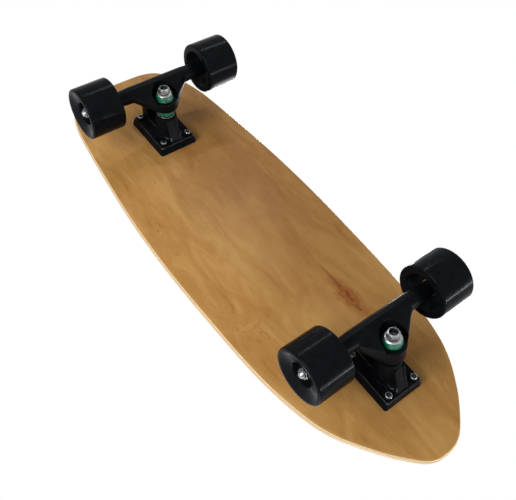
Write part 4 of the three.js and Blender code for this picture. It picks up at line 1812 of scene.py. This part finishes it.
@dataclass
class WheelSet:
    """Wheel, bearings, speed washers and axle nut at the four axle ends."""

    trucks: list[Truck]
    radius: float = 35.5
    width: float = 50.0
    tread: float = 45.0
    lip: float = 2.5
    inner_dish: Corner = (25.5, 19.0, 12.0)
    outer_dish: Corner = (31.0, 15.5, 5.0)
    core: Point = (14.0, 9.0)
    bearing: Corner = (11.0, 7.0, 10.0)
    bearing_bore: float = 4.1
    shield: Corner = (6.3, 9.1, 0.7)
    nut_corner: float = 7.4
    nut_height: float = 7.5
    nut_collar: float = 2.0
    washer: Corner = (4.2, 6.2, 0.8)
    spacer_radii: Point = (4.2, 5.8)
    steps: int = 96
    bearing_steps: int = 64

    def half_section(self, dish: Corner) -> list[Point]:
        """Section of half a wheel, from its core's bore to the middle of its tread.

        Args:
            dish: radius of the dish's rim, radius of its floor and its depth.

        Returns:
            (radius, height) points.
        """
        outer, wide, spacing = self.bearing
        seat, shoulder, face = outer + CLEARANCE, spacing / 2 - CLEARANCE, self.width / 2
        bearing_face = spacing / 2 + wide
        rim = self.radius - self.lip
        core, core_bore = self.core
        dish_rim, floor, depth = dish
        lip = [(rim + self.lip * sin(a), self.tread / 2 + (face - self.tread / 2) * cos(a))
               for a in (pi / 2 * i / 10 for i in range(1, 11))]
        inner = eased([
            (core_bore, 0, 0), (core_bore, shoulder, 0), (seat, shoulder, 0),
            (seat, bearing_face, 0.4),
            (core, bearing_face, 0.5), (floor, face - depth, 1.5), (dish_rim, face, 1.2),
            (rim + self.lip * sin(0.15), face, 0),
        ], 5)
        return [*inner[:-1], *lip]

    def wheel(self) -> Obj:
        """Mould a wheel with rounded lips, dished faces and a raised core.

        Returns:
            The wheel, about Z.
        """
        mirrored = [(r, -h) for r, h in reversed(self.half_section(self.inner_dish)[1:])]
        wheel = spun("wheel", [*self.half_section(self.outer_dish), *mirrored], self.steps)
        return dressed(smooth(wheel, 32), TREAD)

    def ball_bearing(self) -> Obj:
        """Turn a bearing with a sunk shield on both faces.

        Returns:
            The bearing, about Z from height zero.
        """
        outer, wide, _ = self.bearing
        low, high, deep = self.shield
        face = [
            (self.bearing_bore, 0, 0.3), (low - 0.2, 0, 0.25), (low, deep, 0.1), (high, deep, 0.1),
            (high + 0.3, 0, 0.2), (outer, 0, 0.6),
        ]
        back = [(r, wide - h, f) for r, h, f in reversed(face)]
        bearing = spun("bearing", eased([*face, *back], 3), self.bearing_steps)
        dressed(smooth(bearing, 30), RACE, SHIELD)
        return paint_faces(bearing, 1,
                           lambda f: low - 0.05 < hypot(*f.center[:2]) / MM < high + 0.05)

    def nut(self) -> Obj:
        """Put an axle nut over its speed washer.

        Returns:
            Both in one, about Z from height zero.
        """
        bore, radius, thick = self.washer
        nut = LockNut(self.nut_corner, self.nut_height - thick, self.bearing_bore, self.nut_collar)
        nut = moved(nut.build("axle nut"), shift(0, 0, thick))
        ring = spun("speed washer", eased([
            (bore, 0, 0.1), (radius, 0, 0.2), (radius, thick - 0.1, 0.2), (bore, thick - 0.1, 0.1),
        ]), SMALL_STEPS)
        return smooth(one_mesh([nut, dressed(ring, ZINC, NYLON, ZINC)]), 30)

    def spacer(self) -> Obj:
        """Turn the tube that keeps a wheel's bearings apart.

        Returns:
            The tube, about Z round its middle.
        """
        half = self.bearing[2] / 2 - CLEARANCE
        bore, outer = self.spacer_radii
        tube = spun("spacer", eased([
            (bore, -half, 0.3), (outer, -half, 0.3), (outer, half, 0.3), (bore, half, 0.3),
        ]), SMALL_STEPS)
        return dressed(smooth(tube), ZINC)

    def build(self) -> None:
        """Make one of each piece and copy them to the four axle ends."""
        wide, spacing = self.bearing[1:]
        face = spacing / 2 + wide
        moulds = [
            (self.wheel(), 0.0, "wheel", "wheel", "blackUrethane", True),
            (self.ball_bearing(), -face, "inner_race", "inner_bearing", "bearingSteel", True),
            (self.ball_bearing(), spacing / 2, "outer_race", "outer_bearing", "bearingSteel", True),
            (self.spacer(), 0.0, "spacer_tube", "bearing_spacer", "zincSteel", False),
            (self.nut(), face + CLEARANCE, "lock_nut", "axle_nut", "zincSteel", False),
        ]
        for truck in self.trucks:
            for hand, side in (("left", -1), ("right", 1)):
                for mould, height, label, node, slot, rolls in moulds:
                    name = f"{truck.name}_{hand}"
                    twin = copied(mould, f"{name}_{'urethane_' if label == 'wheel' else ''}{label}")
                    place = shift(0, 0, truck.wheel_centre + height)
                    moved(twin, truck.world() @ truck.axle_frame(side) @ place)
                    body = f"{name}_rolling" if rolls else f"{truck.name}_truck"
                    show(twin, body, slot, f"{name}_{node}")
        for mould, *_ in moulds:
            bpy.data.objects.remove(mould)


# The studio

@dataclass
class Studio:
    """Camera at the photograph's angle, a pale floor that shows from above, soft lamps."""

    position: Corner = (401.9, 373.5, -592.4)
    right: Corner = (0.60104, -0.79436, -0.08803)
    up: Corner = (-0.67680, -0.44731, -0.58468)
    forward: Corner = (-0.42507, -0.41100, 0.80647)
    lens: float = 45.66
    floor_size: float = 12.0
    floor_color: str = "#7e7e7d"
    floor_glow: float = 0.55
    floor_near: float = 0.9
    floor_far: float = 2.4
    soft_light: float = 0.38
    aim: Corner = (0.0, 0.0, 110.0)
    # Name, place, size and watts: broad panels light the faces, narrow lines draw the bright edges.
    lamps: tuple[tuple[str, Corner, Point, float], ...] = (
        ("key below", (90, 1150, -800), (800, 800), 20),
        ("side line", (1000, -450, 110), (800, 30), 5.5),
        ("top line", (-640, -450, -770), (700, 30), 2.8),
        ("rim line", (-720, -450, 700), (700, 60), 6),
        ("key above", (-200, -900, 1300), (1000, 1000), 15),
        ("fill above", (900, 700, 900), (900, 900), 6),
    )

    def camera(self) -> None:
        """Make the camera and make it the scene's."""
        data = bpy.data.cameras.new("view")
        data.lens = self.lens
        data.sensor_width = 36.0
        data.clip_start = 0.01
        camera = bpy.data.objects.new("view", data)
        bpy.context.scene.collection.objects.link(camera)
        back = [-c for c in self.forward]
        turn = Matrix((self.right, self.up, back)).transposed().to_4x4()
        camera.matrix_world = shift(*self.position) @ turn
        bpy.context.scene.camera = camera

    def lamp(self, name: str, place: Corner, size: Point, power: float) -> None:
        """Add an oblong area lamp that looks at the middle of the board, with its length along Y.

        Args:
            name: the lamp's name.
            place: where it hangs.
            size: its length and width.
            power: its power in watts.
        """
        data = bpy.data.lights.new(name, "AREA")
        data.shape = "RECTANGLE"
        data.size, data.size_y = (side * MM for side in size)
        data.energy = power
        lamp = bpy.data.objects.new(name, data)
        bpy.context.scene.collection.objects.link(lamp)
        spot = Vector(place) * MM
        back = (spot - Vector(self.aim) * MM).normalized()
        along = (Vector((0, 1, 0)) - back * back.y).normalized()
        turn = Matrix((along, back.cross(along), back)).transposed().to_4x4()
        lamp.matrix_world = Matrix.Translation(spot) @ turn

    def world(self) -> None:
        """White for what is seen or reflected, a softer white for what lights."""
        world = bpy.data.worlds.new("studio")
        world.use_nodes = True
        tree = world.node_tree
        path = add(tree, "LightPath")
        seen = path.outputs["Is Camera Ray"]
        for ray in ("Is Glossy Ray", "Is Transmission Ray"):
            seen = add(tree, "Math", (seen, path.outputs[ray]), operation="MAXIMUM").outputs[0]
        level = add(tree, "MapRange", (seen, 0.0, 1.0, self.soft_light, 1.0)).outputs[0]
        fill(tree, tree.nodes["Background"], {"Color": (1, 1, 1, 1), "Strength": level})
        bpy.context.scene.world = world

    def floor(self) -> None:
        """Add a pale floor that only the camera sees, only from above, and that fades to white."""
        floor = fresh("studio_floor", bpy.ops.mesh.primitive_plane_add, size=self.floor_size)
        material = bpy.data.materials.new("matt pale floor")
        material.use_nodes = True
        tree = material.node_tree
        shader = fill(tree, tree.nodes["Principled BSDF"], {
            "Base Color": hex_color(self.floor_color), "Roughness": 0.9,
            "Emission Color": (1, 1, 1, 1), "Emission Strength": self.floor_glow,
        })
        clear = add(tree, "BsdfTransparent").outputs["BSDF"]
        back = add(tree, "NewGeometry").outputs["Backfacing"]
        seen = add(tree, "LightPath").outputs["Is Camera Ray"]
        above = add(tree, "Math", (seen, back), operation="SUBTRACT", use_clamp=True).outputs[0]
        place = add(tree, "TexCoord").outputs["Object"]
        reach = add(tree, "VectorMath", (place,), operation="LENGTH").outputs["Value"]
        near = add(tree, "MapRange", (reach, self.floor_near, self.floor_far, 1.0, 0.0)).outputs[0]
        shown = add(tree, "Math", (above, near), operation="MULTIPLY").outputs[0]
        mix = add(tree, "MixShader", (shown, clear, shader.outputs["BSDF"]))
        fill(tree, tree.nodes["Material Output"], {"Surface": mix.outputs["Shader"]})
        floor.data.materials.append(material)

    def build(self) -> None:
        """Set the studio up."""
        self.camera()
        self.world()
        self.floor()
        for lamp in self.lamps:
            self.lamp(*lamp)
        bpy.context.scene.view_settings.view_transform = "Standard"


def middle_of(nodes: list[str]) -> float:
    """Return the X middle, in millimetres, of the boxes of some CAD nodes."""
    boxes = [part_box(node) for node in nodes]
    return (min(low[0] for low, _ in boxes) + max(high[0] for _, high in boxes)) / 2 / MM


def main() -> None:
    """Build the studio, the board, the hardware, the trucks and the wheels on the frame."""
    logging.basicConfig(level=logging.INFO, format="%(name)s: %(message)s")
    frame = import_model()
    Studio().build()
    mount = frame["record"]["mounts"][0]["pos_m"][2] / MM
    board = Board(underside=0.0)
    board.underside = mount - board.thickness - CLEARANCE - board.grip
    middles = {end: middle_of([f"{end.value}_deck_bolt_{i}" for i in range(1, 5)]) for end in End}
    hardware = DeckHardware(board.underside, middles)
    board.build(hardware)
    hardware.build()
    trucks = [
        Truck(End.FRONT, middles[End.FRONT], board.underside, kingpin_place=-0.7, kingpin_lean=-12,
              axle_place=-28, steer_angle=18, steer_height=57, pivot_reach=27.3, ring_bottom=50),
        Truck(End.REAR, middles[End.REAR], board.underside, kingpin_place=5.5, kingpin_lean=-5,
              axle_place=-17, steer_angle=28, steer_height=62, pivot_reach=39.5, ring_bottom=57),
    ]
    for truck in trucks:
        truck.build()
    WheelSet(trucks).build()


if __name__ == "__main__":
    main()
